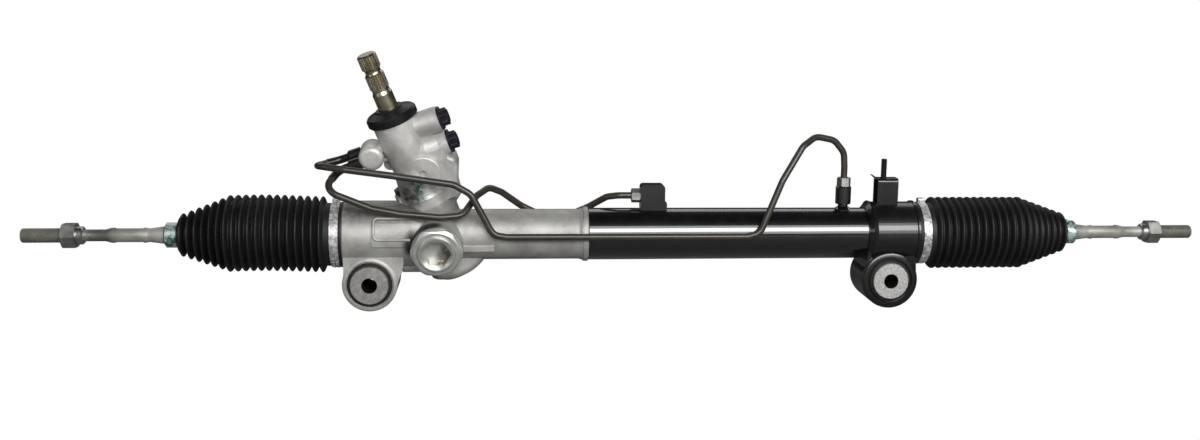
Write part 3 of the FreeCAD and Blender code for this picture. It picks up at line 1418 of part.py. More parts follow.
def rack_bar():
    bar = turned(
        (
            (RACK_LEFT, 0),
            (RACK_LEFT, RACK_RADIUS - 1),
            (RACK_LEFT + 1, RACK_RADIUS),
            (RACK_RIGHT - 1, RACK_RADIUS),
            (RACK_RIGHT, RACK_RADIUS - 1),
            (RACK_RIGHT, 0),
        ),
        RACK,
    )
    top = prism(
        (
            (PINION_X - TOOTHED_BEFORE, TOOTH_TIP_HEIGHT),
            (PINION_X + TOOTHED_AFTER, TOOTH_TIP_HEIGHT),
            (PINION_X + TOOTHED_AFTER, 2 * RACK_RADIUS),
            (PINION_X - TOOTHED_BEFORE, 2 * RACK_RADIUS),
        ),
        4 * RACK_RADIUS,
        RACK_AXIS_POINT - AXIS_X.cross(TO_PINION) * (2 * RACK_RADIUS),
        AXIS_X,
        AXIS_X.cross(TO_PINION),
    )
    hole = STUD_LENGTH + 2
    cuts = [
        top,
        disc(STUD_RADIUS + SEAT_GAP, RACK_LEFT - 1, RACK_LEFT + hole, RACK),
        disc(STUD_RADIUS + SEAT_GAP, RACK_RIGHT - hole, RACK_RIGHT + 1, RACK),
    ]
    inner = RACK_RADIUS - SNAP_RING_DEPTH
    for start in piston_snap_ring_starts():
        groove_end = start + SNAP_RING_WIDTH + SEAT_GAP
        cuts.append(ring(inner, 2 * RACK_RADIUS, start, groove_end, RACK))
    bar = bar.cut(cuts)
    return bar.cut(rack_tooth_spaces())


def rack_tooth_spaces():
    """Prisms that leave straight teeth, square to the normal of the pinion's helix."""
    trace_angle = LEAN_X - HELIX
    up_rack = AXIS_X.cross(TO_PINION)
    trace = AXIS_X * -math.sin(trace_angle) + up_rack * math.cos(trace_angle)
    across = AXIS_X * math.cos(trace_angle) + up_rack * math.sin(trace_angle)
    root = RACK_REFERENCE - MODULE * RACK_DEDENDUM
    brim = 1.5 * RACK_RADIUS
    half_space = math.pi * MODULE / 4 + BACKLASH / 2
    slope = math.tan(PRESSURE)
    root_half = half_space - (RACK_REFERENCE - root) * slope
    brim_half = half_space + (brim - RACK_REFERENCE) * slope
    outline = ((-root_half, root), (root_half, root), (brim_half, brim), (-brim_half, brim))
    depth = 5 * RACK_RADIUS
    pitch = math.pi * MODULE / math.cos(trace_angle)
    before = int(TOOTHED_BEFORE / pitch)
    after = int(TOOTHED_AFTER / pitch)
    start = MESH_POINT - trace * (depth / 2)
    cutter = prism(outline, depth, start, across, trace)
    spaces = []
    for index in range(-before, after + 1):
        space = cutter.copy()
        space.translate(AXIS_X * (index * pitch))
        spaces.append(space)
    return spaces


def piston_snap_ring_starts():
    half = PISTON_LENGTH / 2
    return (PISTON_X - half - SNAP_RING_WIDTH - SEAT_GAP, PISTON_X + half)


def piston():
    half = PISTON_LENGTH / 2
    groove = PISTON_RING_WIDTH / 2 + FIT
    floor = PISTON_RADIUS - PISTON_RING_DEPTH
    return turned(
        (
            (PISTON_X - half, RACK_RADIUS + FIT),
            (PISTON_X - half, PISTON_RADIUS - 1),
            (PISTON_X - half + 1, PISTON_RADIUS),
            (PISTON_X - groove, PISTON_RADIUS),
            (PISTON_X - groove, floor),
            (PISTON_X + groove, floor),
            (PISTON_X + groove, PISTON_RADIUS),
            (PISTON_X + half - 1, PISTON_RADIUS),
            (PISTON_X + half, PISTON_RADIUS - 1),
            (PISTON_X + half, RACK_RADIUS + FIT),
        ),
        RACK,
    )


def piston_ring():
    half = PISTON_RING_WIDTH / 2
    inner = PISTON_RADIUS - PISTON_RING_DEPTH + FIT
    return ring(inner, TUBE_BORE_RADIUS - FIT, PISTON_X - half, PISTON_X + half, RACK)


def piston_snap_rings():
    inner = RACK_RADIUS - SNAP_RING_DEPTH + FIT
    rings = []
    for start in piston_snap_ring_starts():
        begin = start + SEAT_GAP / 2
        circlip = ring(inner, SNAP_RING_RADIUS, begin, begin + SNAP_RING_WIDTH, RACK)
        gap = block(
            Vec(begin - 1, -2.5, RACK_HEIGHT - 2 * RACK_RADIUS),
            Vec(begin + SNAP_RING_WIDTH + 1, 2.5, RACK_HEIGHT),
        )
        rings.append(circlip.cut(gap))
    return Part.makeCompound(rings)


def ball_socket(at):
    body = turned(
        (
            (-SOCKET_BACK - STUD_LENGTH, 0),
            (-SOCKET_BACK - STUD_LENGTH, STUD_RADIUS - 1),
            (-SOCKET_BACK - STUD_LENGTH + 1, STUD_RADIUS),
            (-SOCKET_BACK, STUD_RADIUS),
            (-SOCKET_BACK, SOCKET_RADIUS - 1),
            (-SOCKET_BACK + 1, SOCKET_RADIUS),
            (2, SOCKET_RADIUS),
            (SOCKET_LIP, SOCKET_LIP_RADIUS),
            (SOCKET_LIP, 0),
        ),
        at,
    )
    mouth_length = 2 * SOCKET_LIP
    mouth_radius = mouth_length * math.tan(math.radians(SOCKET_MOUTH_ANGLE))
    mouth = placed(Part.makeCone(0, mouth_radius, mouth_length), at)
    cavity = placed(Part.makeSphere(CAVITY_RADIUS), at)
    cuts = [cavity, mouth]
    half = SOCKET_FLATS / 2
    for side in (-1, 1):
        low = half if side > 0 else -2 * SOCKET_RADIUS
        high = 2 * SOCKET_RADIUS if side > 0 else -half
        slab = block(
            Vec(low, -2 * SOCKET_RADIUS, -SOCKET_BACK - 1),
            Vec(high, 2 * SOCKET_RADIUS, -SOCKET_BACK + SOCKET_FLAT_LENGTH),
        )
        cuts.append(placed(slab, at))
    return body.cut(cuts)


def claw_washer(at):
    """Lock washer with two tongues bent over the socket's flats."""
    start = -SOCKET_BACK - CLAW_THICKNESS
    washer = ring(STUD_RADIUS + SEAT_GAP, CLAW_RADIUS, start + FIT / 2, -SOCKET_BACK - FIT / 2, at)
    inner = SOCKET_FLATS / 2 + SEAT_GAP
    outer = inner + 1.4
    pieces = []
    for side in (-1, 1):
        tab = block(
            Vec(inner, -CLAW_WIDTH / 2, start + FIT / 2),
            Vec(outer, CLAW_WIDTH / 2, -SOCKET_BACK + CLAW_TAB),
        )
        foot = block(
            Vec(STUD_RADIUS + 2, -CLAW_WIDTH / 2, start + FIT / 2),
            Vec(outer, CLAW_WIDTH / 2, -SOCKET_BACK - FIT / 2),
        )
        turn = FreeCAD.Placement(Vec(), FreeCAD.Rotation(AXIS_Z, 90 - 90 * side))
        pieces.append(placed(placed(tab.fuse(foot), turn), at))
    return washer.multiFuse(pieces)


def ball_seat(at):
    """Low-friction shell between the ball and its socket."""
    inner = BALL_RADIUS + FIT
    shell = Part.makeSphere(inner + SEAT_WALL).cut(Part.makeSphere(inner))
    mouth_length = 2 * BALL_RADIUS
    mouth_radius = mouth_length * math.tan(math.radians(SEAT_MOUTH_ANGLE))
    mouth = Part.makeCone(0, mouth_radius, mouth_length)
    grease_hole = Part.makeCylinder(3, 2 * BALL_RADIUS, Vec(), AXIS_Z * -1)
    return placed(shell.cut([mouth, grease_hole]), at)


def tie_rod(at):
    seat_start = CLIP_CENTRE - CLIP_WIDTH / 2 - SEAT_MARGIN
    seat_end = CLIP_CENTRE + CLIP_WIDTH / 2 + 1
    neck_start = math.sqrt(BALL_RADIUS ** 2 - ROD_NECK_RADIUS ** 2) - 1
    nut_face = NUT_CENTRE + NUT_HEIGHT / 2
    rod = turned(
        (
            (neck_start, 0),
            (neck_start, ROD_NECK_RADIUS),
            (BALL_RADIUS + 8, ROD_NECK_RADIUS),
            (BALL_RADIUS + 14, ROD_SHANK_RADIUS),
            (seat_start - 2, ROD_SHANK_RADIUS),
            (seat_start, BOOT_SEAT_RADIUS),
            (seat_end, BOOT_SEAT_RADIUS),
            (FLARE_END, ROD_NECK_RADIUS),
            (FLARE_END + 3, ROD_SHANK_RADIUS),
            (WRENCH_END, ROD_SHANK_RADIUS),
            (WAIST_START, WAIST_RADIUS),
            (WAIST_END, WAIST_RADIUS),
            (WAIST_END + 1.5, NUT_SEAT_RADIUS),
            (nut_face, NUT_SEAT_RADIUS),
            (nut_face, THREAD_RADIUS),
            (ROD_TIP - 1.4, THREAD_RADIUS),
            (ROD_TIP, THREAD_RADIUS - 1.4),
            (ROD_TIP, 0),
        ),
        at,
    )
    ball = placed(Part.makeSphere(BALL_RADIUS), at)
    solid = rod.fuse(ball)
    half = WRENCH_FLATS / 2
    cuts = []
    for side in (-1, 1):
        low = half if side > 0 else -2 * ROD_SHANK_RADIUS
        high = 2 * ROD_SHANK_RADIUS if side > 0 else -half
        slab = block(
            Vec(-2 * ROD_SHANK_RADIUS, low, FLARE_END + 5),
            Vec(2 * ROD_SHANK_RADIUS, high, WRENCH_END - 3),
        )
        cuts.append(placed(slab, at))
    return solid.cut(cuts)


def lock_nut(at):
    start = NUT_CENTRE - NUT_HEIGHT / 2
    return hex_nut(NUT_FLATS, NUT_SEAT_RADIUS + FIT, start, start + NUT_HEIGHT, at)


def boot_clip(at):
    """Small spring clip round the boot's narrow end."""
    inner = BOOT_END_RADIUS + SEAT_GAP
    start = CLIP_CENTRE - CLIP_WIDTH / 2
    clip = ring(inner, inner + CLIP_THICKNESS, start, start + CLIP_WIDTH, at)
    half = 3.5
    tab = block(
        Vec(inner + CLIP_THICKNESS / 2, -half, CLIP_CENTRE - half),
        Vec(inner + CLIP_THICKNESS + 3.5, half, CLIP_CENTRE + half),
    )
    notch = block(
        Vec(inner + CLIP_THICKNESS + 0.5, -half - 1, CLIP_CENTRE - 1),
        Vec(inner + 2 * half + 2, half + 1, CLIP_CENTRE + 1),
    )
    tilt = FreeCAD.Placement(Vec(), FreeCAD.Rotation(AXIS_Z, 35))
    return clip.fuse(placed(placed(tab.cut(notch), tilt), at))


def involute(angle):
    return math.tan(angle) - angle


def pinion_section():
    """Transverse outline of the shifted involute pinion at the mesh point."""
    transverse_pressure = math.atan(math.tan(PRESSURE) / math.cos(HELIX))
    base_radius = PITCH_RADIUS * math.cos(transverse_pressure)
    normal_thickness = MODULE * (math.pi / 2 + 2 * PROFILE_SHIFT * math.tan(PRESSURE))
    thickness = (normal_thickness - BACKLASH / 2) / math.cos(HELIX)
    half_at_base = thickness / (2 * PITCH_RADIUS) + involute(transverse_pressure)
    first_radius = base_radius * 1.002
    steps = 5
    flank = []
    for step in range(steps):
        radius = first_radius + (TIP_RADIUS - first_radius) * step / (steps - 1)
        flank.append((radius, half_at_base - involute(math.acos(base_radius / radius))))
    root_half_angle = flank[0][1]
    tooth_angle = 2 * math.pi / PINION_TEETH

    def point(radius, angle):
        return Vec(radius * math.sin(angle), -radius * math.cos(angle), 0)

    edges = []
    for tooth in range(PINION_TEETH):
        centre = tooth * tooth_angle
        right = [point(radius, centre + half) for radius, half in flank]
        left = [point(radius, centre - half) for radius, half in flank]
        foot_left = point(ROOT_RADIUS, centre - root_half_angle)
        foot_right = point(ROOT_RADIUS, centre + root_half_angle)
        next_foot = point(ROOT_RADIUS, centre + tooth_angle - root_half_angle)
        rising = Part.BSplineCurve()
        rising.interpolate(left)
        falling = Part.BSplineCurve()
        falling.interpolate(right[::-1])
        edges.append(Part.LineSegment(foot_left, left[0]).toShape())
        edges.append(rising.toShape())
        edges.append(Part.Arc(left[-1], point(TIP_RADIUS, centre), right[-1]).toShape())
        edges.append(falling.toShape())
        edges.append(Part.LineSegment(right[0], foot_right).toShape())
        edges.append(Part.Arc(foot_right, point(ROOT_RADIUS, centre + tooth_angle / 2), next_foot).toShape())
    return Part.Wire(edges)


def pinion_teeth():
    section = pinion_section()
    sections = []
    for index in range(TOOTH_SECTIONS):
        z = PINION_FACE * (index / (TOOTH_SECTIONS - 1) - 0.5)
        turn = math.degrees(z * math.tan(HELIX) / PITCH_RADIUS)
        wire = section.copy()
        wire.rotate(Vec(), AXIS_Z, turn)
        wire.translate(Vec(0, 0, z))
        sections.append(wire)
    return Part.makeLoft(sections, True, False)


def pinion():
    half_face = PINION_FACE / 2
    thread_bottom = BARREL_BOTTOM + 1
    seat_top = SPLIT_Z + UPPER_BEARING_HEIGHT
    core = turned(
        (
            (thread_bottom, 0),
            (thread_bottom, PINION_THREAD_RADIUS - 0.8),
            (thread_bottom + 0.8, PINION_THREAD_RADIUS),
            (JOURNAL_BOTTOM, PINION_THREAD_RADIUS),
            (JOURNAL_BOTTOM, JOURNAL_RADIUS),
            (JOURNAL_TOP, JOURNAL_RADIUS),
            (-half_face - 1, PINION_NECK_RADIUS),
            (-half_face, PINION_NECK_RADIUS),
            (-half_face, ROOT_RADIUS - 0.5),
            (half_face, ROOT_RADIUS - 0.5),
            (half_face, PINION_NECK_RADIUS),
            (SPLIT_Z, PINION_NECK_RADIUS),
            (SPLIT_Z, UPPER_BEARING_INNER_RADIUS),
            (seat_top, UPPER_BEARING_INNER_RADIUS),
            (VALVE_SLEEVE_BOTTOM, UPPER_BEARING_INNER_RADIUS),
            (VALVE_SLEEVE_BOTTOM, PINION_HEAD_RADIUS),
            (PINION_HEAD_TOP, PINION_HEAD_RADIUS),
            (PINION_HEAD_TOP, 0),
        ),
        LOCAL,
    )
    solid = core.fuse(pinion_teeth())
    cuts = [
        disc(PILOT_RADIUS + FIT, VALVE_SLEEVE_BOTTOM + 1, PINION_HEAD_TOP + 1, LOCAL),
        disc(TORSION_BAR_RADIUS + FIT, TORSION_BAR_BOTTOM - 1, PINION_HEAD_TOP, LOCAL),
    ]
    return placed(solid.cut(cuts), PINION)


def pinion_nut():
    end = JOURNAL_BOTTOM - 0.4
    start = end - PINION_NUT_HEIGHT
    return hex_nut(PINION_NUT_FLATS, PINION_THREAD_RADIUS + FIT, start, end, PINION)


def sleeve_ring_starts():
    span = VALVE_SLEEVE_TOP - PINION_HEAD_TOP
    pitch = span / SLEEVE_RING_COUNT
    return [PINION_HEAD_TOP + pitch * (index + 0.4) for index in range(SLEEVE_RING_COUNT)]


def valve_sleeve():
    outer = VALVE_BORE_RADIUS - VALVE_SLEEVE_GAP
    floor = outer - SLEEVE_RING_DEPTH
    inner = SPOOL_RADIUS + FIT
    profile = [
        (VALVE_SLEEVE_BOTTOM, PINION_HEAD_RADIUS + FIT),
        (VALVE_SLEEVE_BOTTOM, outer),
    ]
    for start in sleeve_ring_starts():
        end = start + SLEEVE_RING_WIDTH + SEAT_GAP
        profile += [(start, outer), (start, floor), (end, floor), (end, outer)]
    profile += [
        (VALVE_SLEEVE_TOP, outer),
        (VALVE_SLEEVE_TOP, inner),
        (PINION_HEAD_TOP + FIT, inner),
        (PINION_HEAD_TOP + FIT, PINION_HEAD_RADIUS + FIT),
    ]
    return turned(profile, PINION)


def valve_sleeve_rings():
    inner = VALVE_BORE_RADIUS - VALVE_SLEEVE_GAP - SLEEVE_RING_DEPTH + FIT
    outer = VALVE_BORE_RADIUS - FIT / 2
    rings = []
    for start in sleeve_ring_starts():
        begin = start + SEAT_GAP / 2
        rings.append(ring(inner, outer, begin, begin + SLEEVE_RING_WIDTH, PINION))
    return Part.makeCompound(rings)


def torsion_bar():
    return disc(TORSION_BAR_RADIUS, TORSION_BAR_BOTTOM, TORSION_BAR_TOP, PINION)


def torsion_pin_height():
    return TORSION_BAR_TOP - 4


def torsion_pin():
    start = pinion_point(-INPUT_RADIUS + 1, 0, torsion_pin_height())
    return Part.makeCylinder(1.25, 2 * INPUT_RADIUS - 2, start, ACROSS_PINION)


def input_shaft():
    serrated_start = INPUT_TIP_Z - SERRATION_LENGTH
    pilot_bottom = VALVE_SLEEVE_BOTTOM + 1.5
    shaft = turned(
        (
            (pilot_bottom, 0),
            (pilot_bottom, PILOT_RADIUS),
            (SPOOL_BOTTOM, PILOT_RADIUS),
            (SPOOL_BOTTOM, SPOOL_RADIUS),
            (VALVE_SLEEVE_TOP, SPOOL_RADIUS),
            (VALVE_SLEEVE_TOP, INPUT_RADIUS),
            (serrated_start - 6, INPUT_RADIUS),
            (serrated_start - 3, INPUT_RADIUS - 1.2),
            (serrated_start, INPUT_RADIUS - 1.2),
            (serrated_start, INPUT_RADIUS - 0.3),
            (INPUT_TIP_Z - 1.5, INPUT_RADIUS - 0.3),
            (INPUT_TIP_Z, INPUT_RADIUS - 1.8),
            (INPUT_TIP_Z, 0),
        ),
        LOCAL,
    )
    cuts = [
        disc(TORSION_BAR_RADIUS + 0.3, pilot_bottom - 1, serrated_start - 10, LOCAL),
        disc(TORSION_BAR_RADIUS + FIT, serrated_start - 10, TORSION_BAR_TOP + 1, LOCAL),
    ]
    slot_bottom = SPOOL_BOTTOM + 6
    slot_height = VALVE_SLEEVE_TOP - SPOOL_BOTTOM - 12
    for index in range(SPOOL_SLOTS):
        slot = Part.makeBox(
            2 * SPOOL_SLOT_DEPTH,
            SPOOL_SLOT_WIDTH,
            slot_height,
            Vec(SPOOL_RADIUS - SPOOL_SLOT_DEPTH, -SPOOL_SLOT_WIDTH / 2, slot_bottom),
        )
        slot.rotate(Vec(), AXIS_Z, FULL_TURN * index / SPOOL_SLOTS)
        cuts.append(slot)
    outer = INPUT_RADIUS - 0.3
    for index in range(SERRATION_COUNT):
        notch_points = [
            Vec(outer - SERRATION_DEPTH, 0, serrated_start - 1),
            Vec(outer + 0.3, -0.9, serrated_start - 1),
            Vec(outer + 0.3, 0.9, serrated_start - 1),
        ]
        face = Part.Face(Part.makePolygon(notch_points + notch_points[:1]))
        notch = face.extrude(Vec(0, 0, SERRATION_LENGTH + 2))
        notch.rotate(Vec(), AXIS_Z, FULL_TURN * index / SERRATION_COUNT)
        cuts.append(notch)
    groove_height = (serrated_start + INPUT_TIP_Z) / 2
    groove = Part.makeTorus(outer + 2.4, PINCH_GROOVE_RADIUS, Vec(0, 0, groove_height))
    cuts.append(groove)
    pin_length = 2 * INPUT_RADIUS
    pin_start = Vec(-INPUT_RADIUS, 0, torsion_pin_height())
    cuts.append(Part.makeCylinder(1.25 + FIT, pin_length, pin_start, AXIS_X))
    return placed(shaft.cut(cuts), PINION)


def torsion_bar_with_pin_hole():
    start = pinion_point(-INPUT_RADIUS, 0, torsion_pin_height())
    hole = Part.makeCylinder(1.25 + FIT, 2 * INPUT_RADIUS, start, ACROSS_PINION)
    return torsion_bar().cut(hole)


def nodes():
    left_clip = LEFT_BALL_X - CLIP_CENTRE
    right_clip = RIGHT_BALL_X + CLIP_CENTRE
    parts = {
        "gear_housing": gear_housing(),
        "cylinder_tube": cylinder_tube(),
        "right_bracket": right_bracket(),
        "valve_housing": valve_housing(),
        "valve_housing_bolts": valve_housing_bolts(),
        "dust_cover": dust_cover(),
        "port_plugs": port_plugs(),
        "input_seal": input_seal(),
        "input_bearing": input_bearing(),
        "upper_bearing_outer_race": upper_bearing_outer(),
        "upper_bearing_inner_race": upper_bearing_inner(),
        "lower_bearing": lower_bearing(),
        "lower_plug": lower_plug(),
        "rack_guide": rack_guide(),
        "rack_guide_liner": rack_guide_liner(),
        "rack_guide_spring": rack_guide_spring(),
        "rack_guide_plug": rack_guide_plug(),
        "rack_guide_lock_ring": rack_guide_lock_ring(),
        "inner_rack_seal": inner_rack_seal(),
        "inner_seal_backer": inner_seal_backer(),
        "rack_bushing": rack_bushing(),
        "outer_rack_seal": outer_rack_seal(),
        "bushing_snap_ring": bushing_snap_ring(),
        "long_pressure_line": long_pressure_line(),
        "short_pressure_line": short_pressure_line(),
        "valve_line_nuts": valve_line_nuts(),
        "cylinder_line_nuts": cylinder_line_nuts(),
        "line_bracket": line_bracket(),
        "bracket_stud": bracket_stud(),
        "left_boot": boot(LEFT_SHOULDER, left_clip, -1),
        "right_boot": boot(RIGHT_SHOULDER, right_clip, 1),
        "boot_clamps": Part.makeCompound([
            boot_clamp(LEFT_SHOULDER, -1),
            boot_clamp(RIGHT_SHOULDER, 1),
        ]),
        "bush_washers": Part.makeCompound([rear_washer(0), rear_washer(MOUNT_SPAN)]),
        "rack_bar": rack_bar(),
        "piston": piston(),
        "piston_ring": piston_ring(),
        "piston_snap_rings": piston_snap_rings(),
        "pinion": pinion(),
        "pinion_nut": pinion_nut(),
        "valve_sleeve": valve_sleeve(),
        "valve_sleeve_rings": valve_sleeve_rings(),
        "input_shaft": input_shaft(),
        "torsion_bar": torsion_bar_with_pin_hole(),
        "torsion_pin": torsion_pin(),
    }
    for side, centre_x in (("left", 0.0), ("right", MOUNT_SPAN)):
        parts[side + "_bush_rubber"] = bush_rubber(centre_x)
        parts[side + "_bush_sleeve"] = bush_sleeve(centre_x)
    for side, at in (("left", LEFT_BALL), ("right", RIGHT_BALL)):
        parts[side + "_ball_socket"] = ball_socket(at)
        parts[side + "_claw_washer"] = claw_washer(at)
        parts[side + "_ball_seat"] = ball_seat(at)
        parts[side + "_tie_rod"] = tie_rod(at)
        parts[side + "_lock_nut"] = lock_nut(at)
        parts[side + "_boot_clip"] = boot_clip(at)
    return parts


def main():
    os.makedirs("parts", exist_ok=True)
    for name, shape in nodes().items():
        if not shape.isValid():
            print("check", name)
        shape.exportStep("parts/" + name + ".step")
        print(name, len(shape.Solids), round(shape.Volume / 1000, 2), "cm3")


main()
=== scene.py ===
import bpy
import bmesh
import json
import math
from mathutils import Matrix, Quaternion, Vector


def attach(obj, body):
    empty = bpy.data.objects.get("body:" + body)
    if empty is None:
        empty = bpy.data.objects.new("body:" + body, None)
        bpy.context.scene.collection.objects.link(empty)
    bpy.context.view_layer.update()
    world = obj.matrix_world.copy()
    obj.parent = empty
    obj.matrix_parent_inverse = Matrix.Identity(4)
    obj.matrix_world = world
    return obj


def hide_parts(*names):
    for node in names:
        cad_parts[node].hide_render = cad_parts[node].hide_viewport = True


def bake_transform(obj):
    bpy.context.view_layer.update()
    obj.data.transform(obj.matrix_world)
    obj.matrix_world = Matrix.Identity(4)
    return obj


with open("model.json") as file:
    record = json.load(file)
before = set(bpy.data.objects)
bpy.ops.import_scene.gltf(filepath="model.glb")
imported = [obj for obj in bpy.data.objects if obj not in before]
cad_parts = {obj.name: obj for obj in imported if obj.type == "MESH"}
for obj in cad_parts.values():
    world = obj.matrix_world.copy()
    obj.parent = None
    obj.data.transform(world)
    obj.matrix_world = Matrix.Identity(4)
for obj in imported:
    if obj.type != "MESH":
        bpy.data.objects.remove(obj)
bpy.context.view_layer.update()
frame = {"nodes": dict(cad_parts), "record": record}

MM = 0.001

# Places in mm, as in the part's source: the left bore is the origin, and the rack runs along X
RACK_Z = 44.0
LEFT_BORE, RIGHT_BORE = 0.0, 513.4
BORE_RADIUS = 7.25
LEFT_SHOULDER, RIGHT_SHOULDER = -25.5, 543.5
LEFT_BALL, RIGHT_BALL = -130.0, 657.0
SIDES = (("left", LEFT_SHOULDER, LEFT_BALL, -1), ("right", RIGHT_SHOULDER, RIGHT_BALL, 1))
LIP_RADIUS = 31.7

# The pinion's own frame: its middle, then across it, away from the rack and up its shaft
PINION_O = Vector((64.0, 16.169, 47.882))
PINION_U = Vector((0.9397, -0.0798, 0.3326))
PINION_N = Vector((0.0, 0.9724, 0.2334))
PINION_A = Vector((-0.342, -0.2194, 0.9137))

MATERIALS = {}


# Node materials

def new_material(name):
    """Empty material, kept in MATERIALS under its name."""
    material = bpy.data.materials.new(name)
    material.use_nodes = True
    MATERIALS[name] = material
    return material, material.node_tree.nodes, material.node_tree.links


def object_coords(nodes):
    return nodes.new("ShaderNodeTexCoord").outputs["Object"]


def noise(nodes, links, vector, scale, detail=3.0, rough=0.5, distortion=0.0):
    texture = nodes.new("ShaderNodeTexNoise")
    texture.inputs["Scale"].default_value = scale
    texture.inputs["Detail"].default_value = detail
    texture.inputs["Roughness"].default_value = rough
    texture.inputs["Distortion"].default_value = distortion
    links.new(vector, texture.inputs["Vector"])
    return texture.outputs["Fac"]


def ramp(nodes, links, value, stops):
    colours = nodes.new("ShaderNodeValToRGB")
    held = colours.color_ramp.elements
    while len(held) < len(stops):
        held.new(0.5)
    for slot, (at, colour) in zip(held, stops):
        slot.position = at
        slot.color = (*colour, 1.0)
    links.new(value, colours.inputs["Fac"])
    return colours.outputs["Color"]


def span(nodes, links, value, low, high, out_low, out_high):
    scaled = nodes.new("ShaderNodeMapRange")
    scaled.inputs["From Min"].default_value = low
    scaled.inputs["From Max"].default_value = high
    scaled.inputs["To Min"].default_value = out_low
    scaled.inputs["To Max"].default_value = out_high
    links.new(value, scaled.inputs["Value"])
    return scaled.outputs["Result"]


def bump(nodes, links, height, strength, distance, normal=None):
    relief = nodes.new("ShaderNodeBump")
    relief.inputs["Strength"].default_value = strength
    relief.inputs["Distance"].default_value = distance
    links.new(height, relief.inputs["Height"])
    if normal is not None:
        links.new(normal, relief.inputs["Normal"])
    return relief.outputs["Normal"]


def principled(nodes, metallic, specular=0.5, coat=0.0, coat_rough=0.1):
    shader = nodes["Principled BSDF"]
    shader.inputs["Metallic"].default_value = metallic
    shader.inputs["Specular IOR Level"].default_value = specular
    shader.inputs["Coat Weight"].default_value = coat
    shader.inputs["Coat Roughness"].default_value = coat_rough
    return shader


def cast_metal(name, dark, light):
    """Sand-like skin of a die casting, with soft stains."""
    material, nodes, links = new_material(name)
    shader = principled(nodes, 0.5)
    place = object_coords(nodes)
    stain = noise(nodes, links, place, 38.0, 5.0, 0.6, 0.4)
    links.new(ramp(nodes, links, stain, [(0.32, dark), (0.62, light)]), shader.inputs["Base Color"])
    fine = noise(nodes, links, place, 1300.0, 2.0, 0.5)
    links.new(span(nodes, links, fine, 0.3, 0.7, 0.45, 0.62), shader.inputs["Roughness"])
    grain = bump(nodes, links, noise(nodes, links, place, 900.0, 3.0, 0.6), 0.35, 0.00025)
    swell = bump(nodes, links, noise(nodes, links, place, 90.0, 3.0, 0.5), 0.25, 0.0006, grain)
    links.new(swell, shader.inputs["Normal"])
    return material


def daub(nodes, links, vector, centre, radius, edge):
    """Spot round a point given in mm; edge is the span of noise that frays it."""
    gap = nodes.new("ShaderNodeVectorMath")
    gap.operation = "DISTANCE"
    links.new(vector, gap.inputs[0])
    gap.inputs[1].default_value = Vector(centre) * MM
    near = span(nodes, links, gap.outputs["Value"], radius * MM, 0.35 * radius * MM, 0.0, 1.0)
    ragged = span(nodes, links, noise(nodes, links, vector, 260.0, 3.0, 0.6), *edge, 0.0, 1.0)
    both = nodes.new("ShaderNodeMath")
    both.operation = "MULTIPLY"
    links.new(near, both.inputs[0])
    links.new(ragged, both.inputs[1])
    return both.outputs[0]


def daubed(material, colour, spots, edge):
    """Paint marks, smears, darker patches and painted shade laid over a material's base colour, as (centre,
    radius) spots.
    """
    nodes, links = material.node_tree.nodes, material.node_tree.links
    shader = nodes["Principled BSDF"]
    place = object_coords(nodes)
    for centre, radius in spots:
        under = shader.inputs["Base Color"].links[0].from_socket
        mix = nodes.new("ShaderNodeMix")
        mix.data_type = "RGBA"
        links.new(daub(nodes, links, place, centre, radius, edge), mix.inputs["Factor"])
        links.new(under, mix.inputs[6])
        mix.inputs[7].default_value = (*colour, 1.0)
        links.new(mix.outputs[2], shader.inputs["Base Color"])


def paint_bore_shade(material, radius, axes):
    """Painted shade in the bores of this radius that run along Y through these X places: near-black walls,
    dull and without metal sheen.
    """
    nodes, links = material.node_tree.nodes, material.node_tree.links
    shader = nodes["Principled BSDF"]
    flat = nodes.new("ShaderNodeVectorMath")
    flat.operation = "MULTIPLY"
    links.new(object_coords(nodes), flat.inputs[0])
    flat.inputs[1].default_value = (1.0, 0.0, 1.0)
    nearest = None
    for axis in axes:
        gap = nodes.new("ShaderNodeVectorMath")
        gap.operation = "DISTANCE"
        links.new(flat.outputs[0], gap.inputs[0])
        gap.inputs[1].default_value = Vector((axis, 0.0, 0.0)) * MM
        if nearest is None:
            nearest = gap.outputs["Value"]
            continue
        lesser = nodes.new("ShaderNodeMath")
        lesser.operation = "MINIMUM"
        links.new(nearest, lesser.inputs[0])
        links.new(gap.outputs["Value"], lesser.inputs[1])
        nearest = lesser.outputs[0]
    wall, face = (radius + 0.1) * MM, (radius + 0.3) * MM
    # Near-black colour on the bore walls: painted shade
    under = shader.inputs["Base Color"].links[0].from_socket
    mix = nodes.new("ShaderNodeMix")
    mix.data_type = "RGBA"
    links.new(span(nodes, links, nearest, wall, face, 1.0, 0.0), mix.inputs["Factor"])
    links.new(under, mix.inputs[6])
    mix.inputs[7].default_value = (0.012, 0.011, 0.010, 1.0)
    links.new(mix.outputs[2], shader.inputs["Base Color"])
    links.new(span(nodes, links, nearest, wall, face, 0.0, 1.0), shader.inputs["Metallic"])
    links.new(span(nodes, links, nearest, wall, face, 0.0, 0.5), shader.inputs["Specular IOR Level"])


def painted(name, colour, rough=0.3, orange_peel=0.06, coat=1.0, specular=0.2, coat_ior=1.8):
    """Dark paint with dust in it, under a clear coat."""
    _, nodes, links = new_material(name)
    shader = principled(nodes, 0.0, specular, coat, 0.05)
    shader.inputs["Coat IOR"].default_value = coat_ior
    place = object_coords(nodes)
    dust = noise(nodes, links, place, 60.0, 4.0, 0.6)
    lighter = tuple(min(1.0, c * 1.5 + 0.001) for c in colour)
    links.new(ramp(nodes, links, dust, [(0.45, colour), (0.85, lighter)]), shader.inputs["Base Color"])
    links.new(span(nodes, links, dust, 0.3, 0.8, rough, rough + 0.14), shader.inputs["Roughness"])
    waves = noise(nodes, links, place, 260.0, 2.0, 0.4)
    links.new(bump(nodes, links, waves, orange_peel, 0.0002), shader.inputs["Normal"])


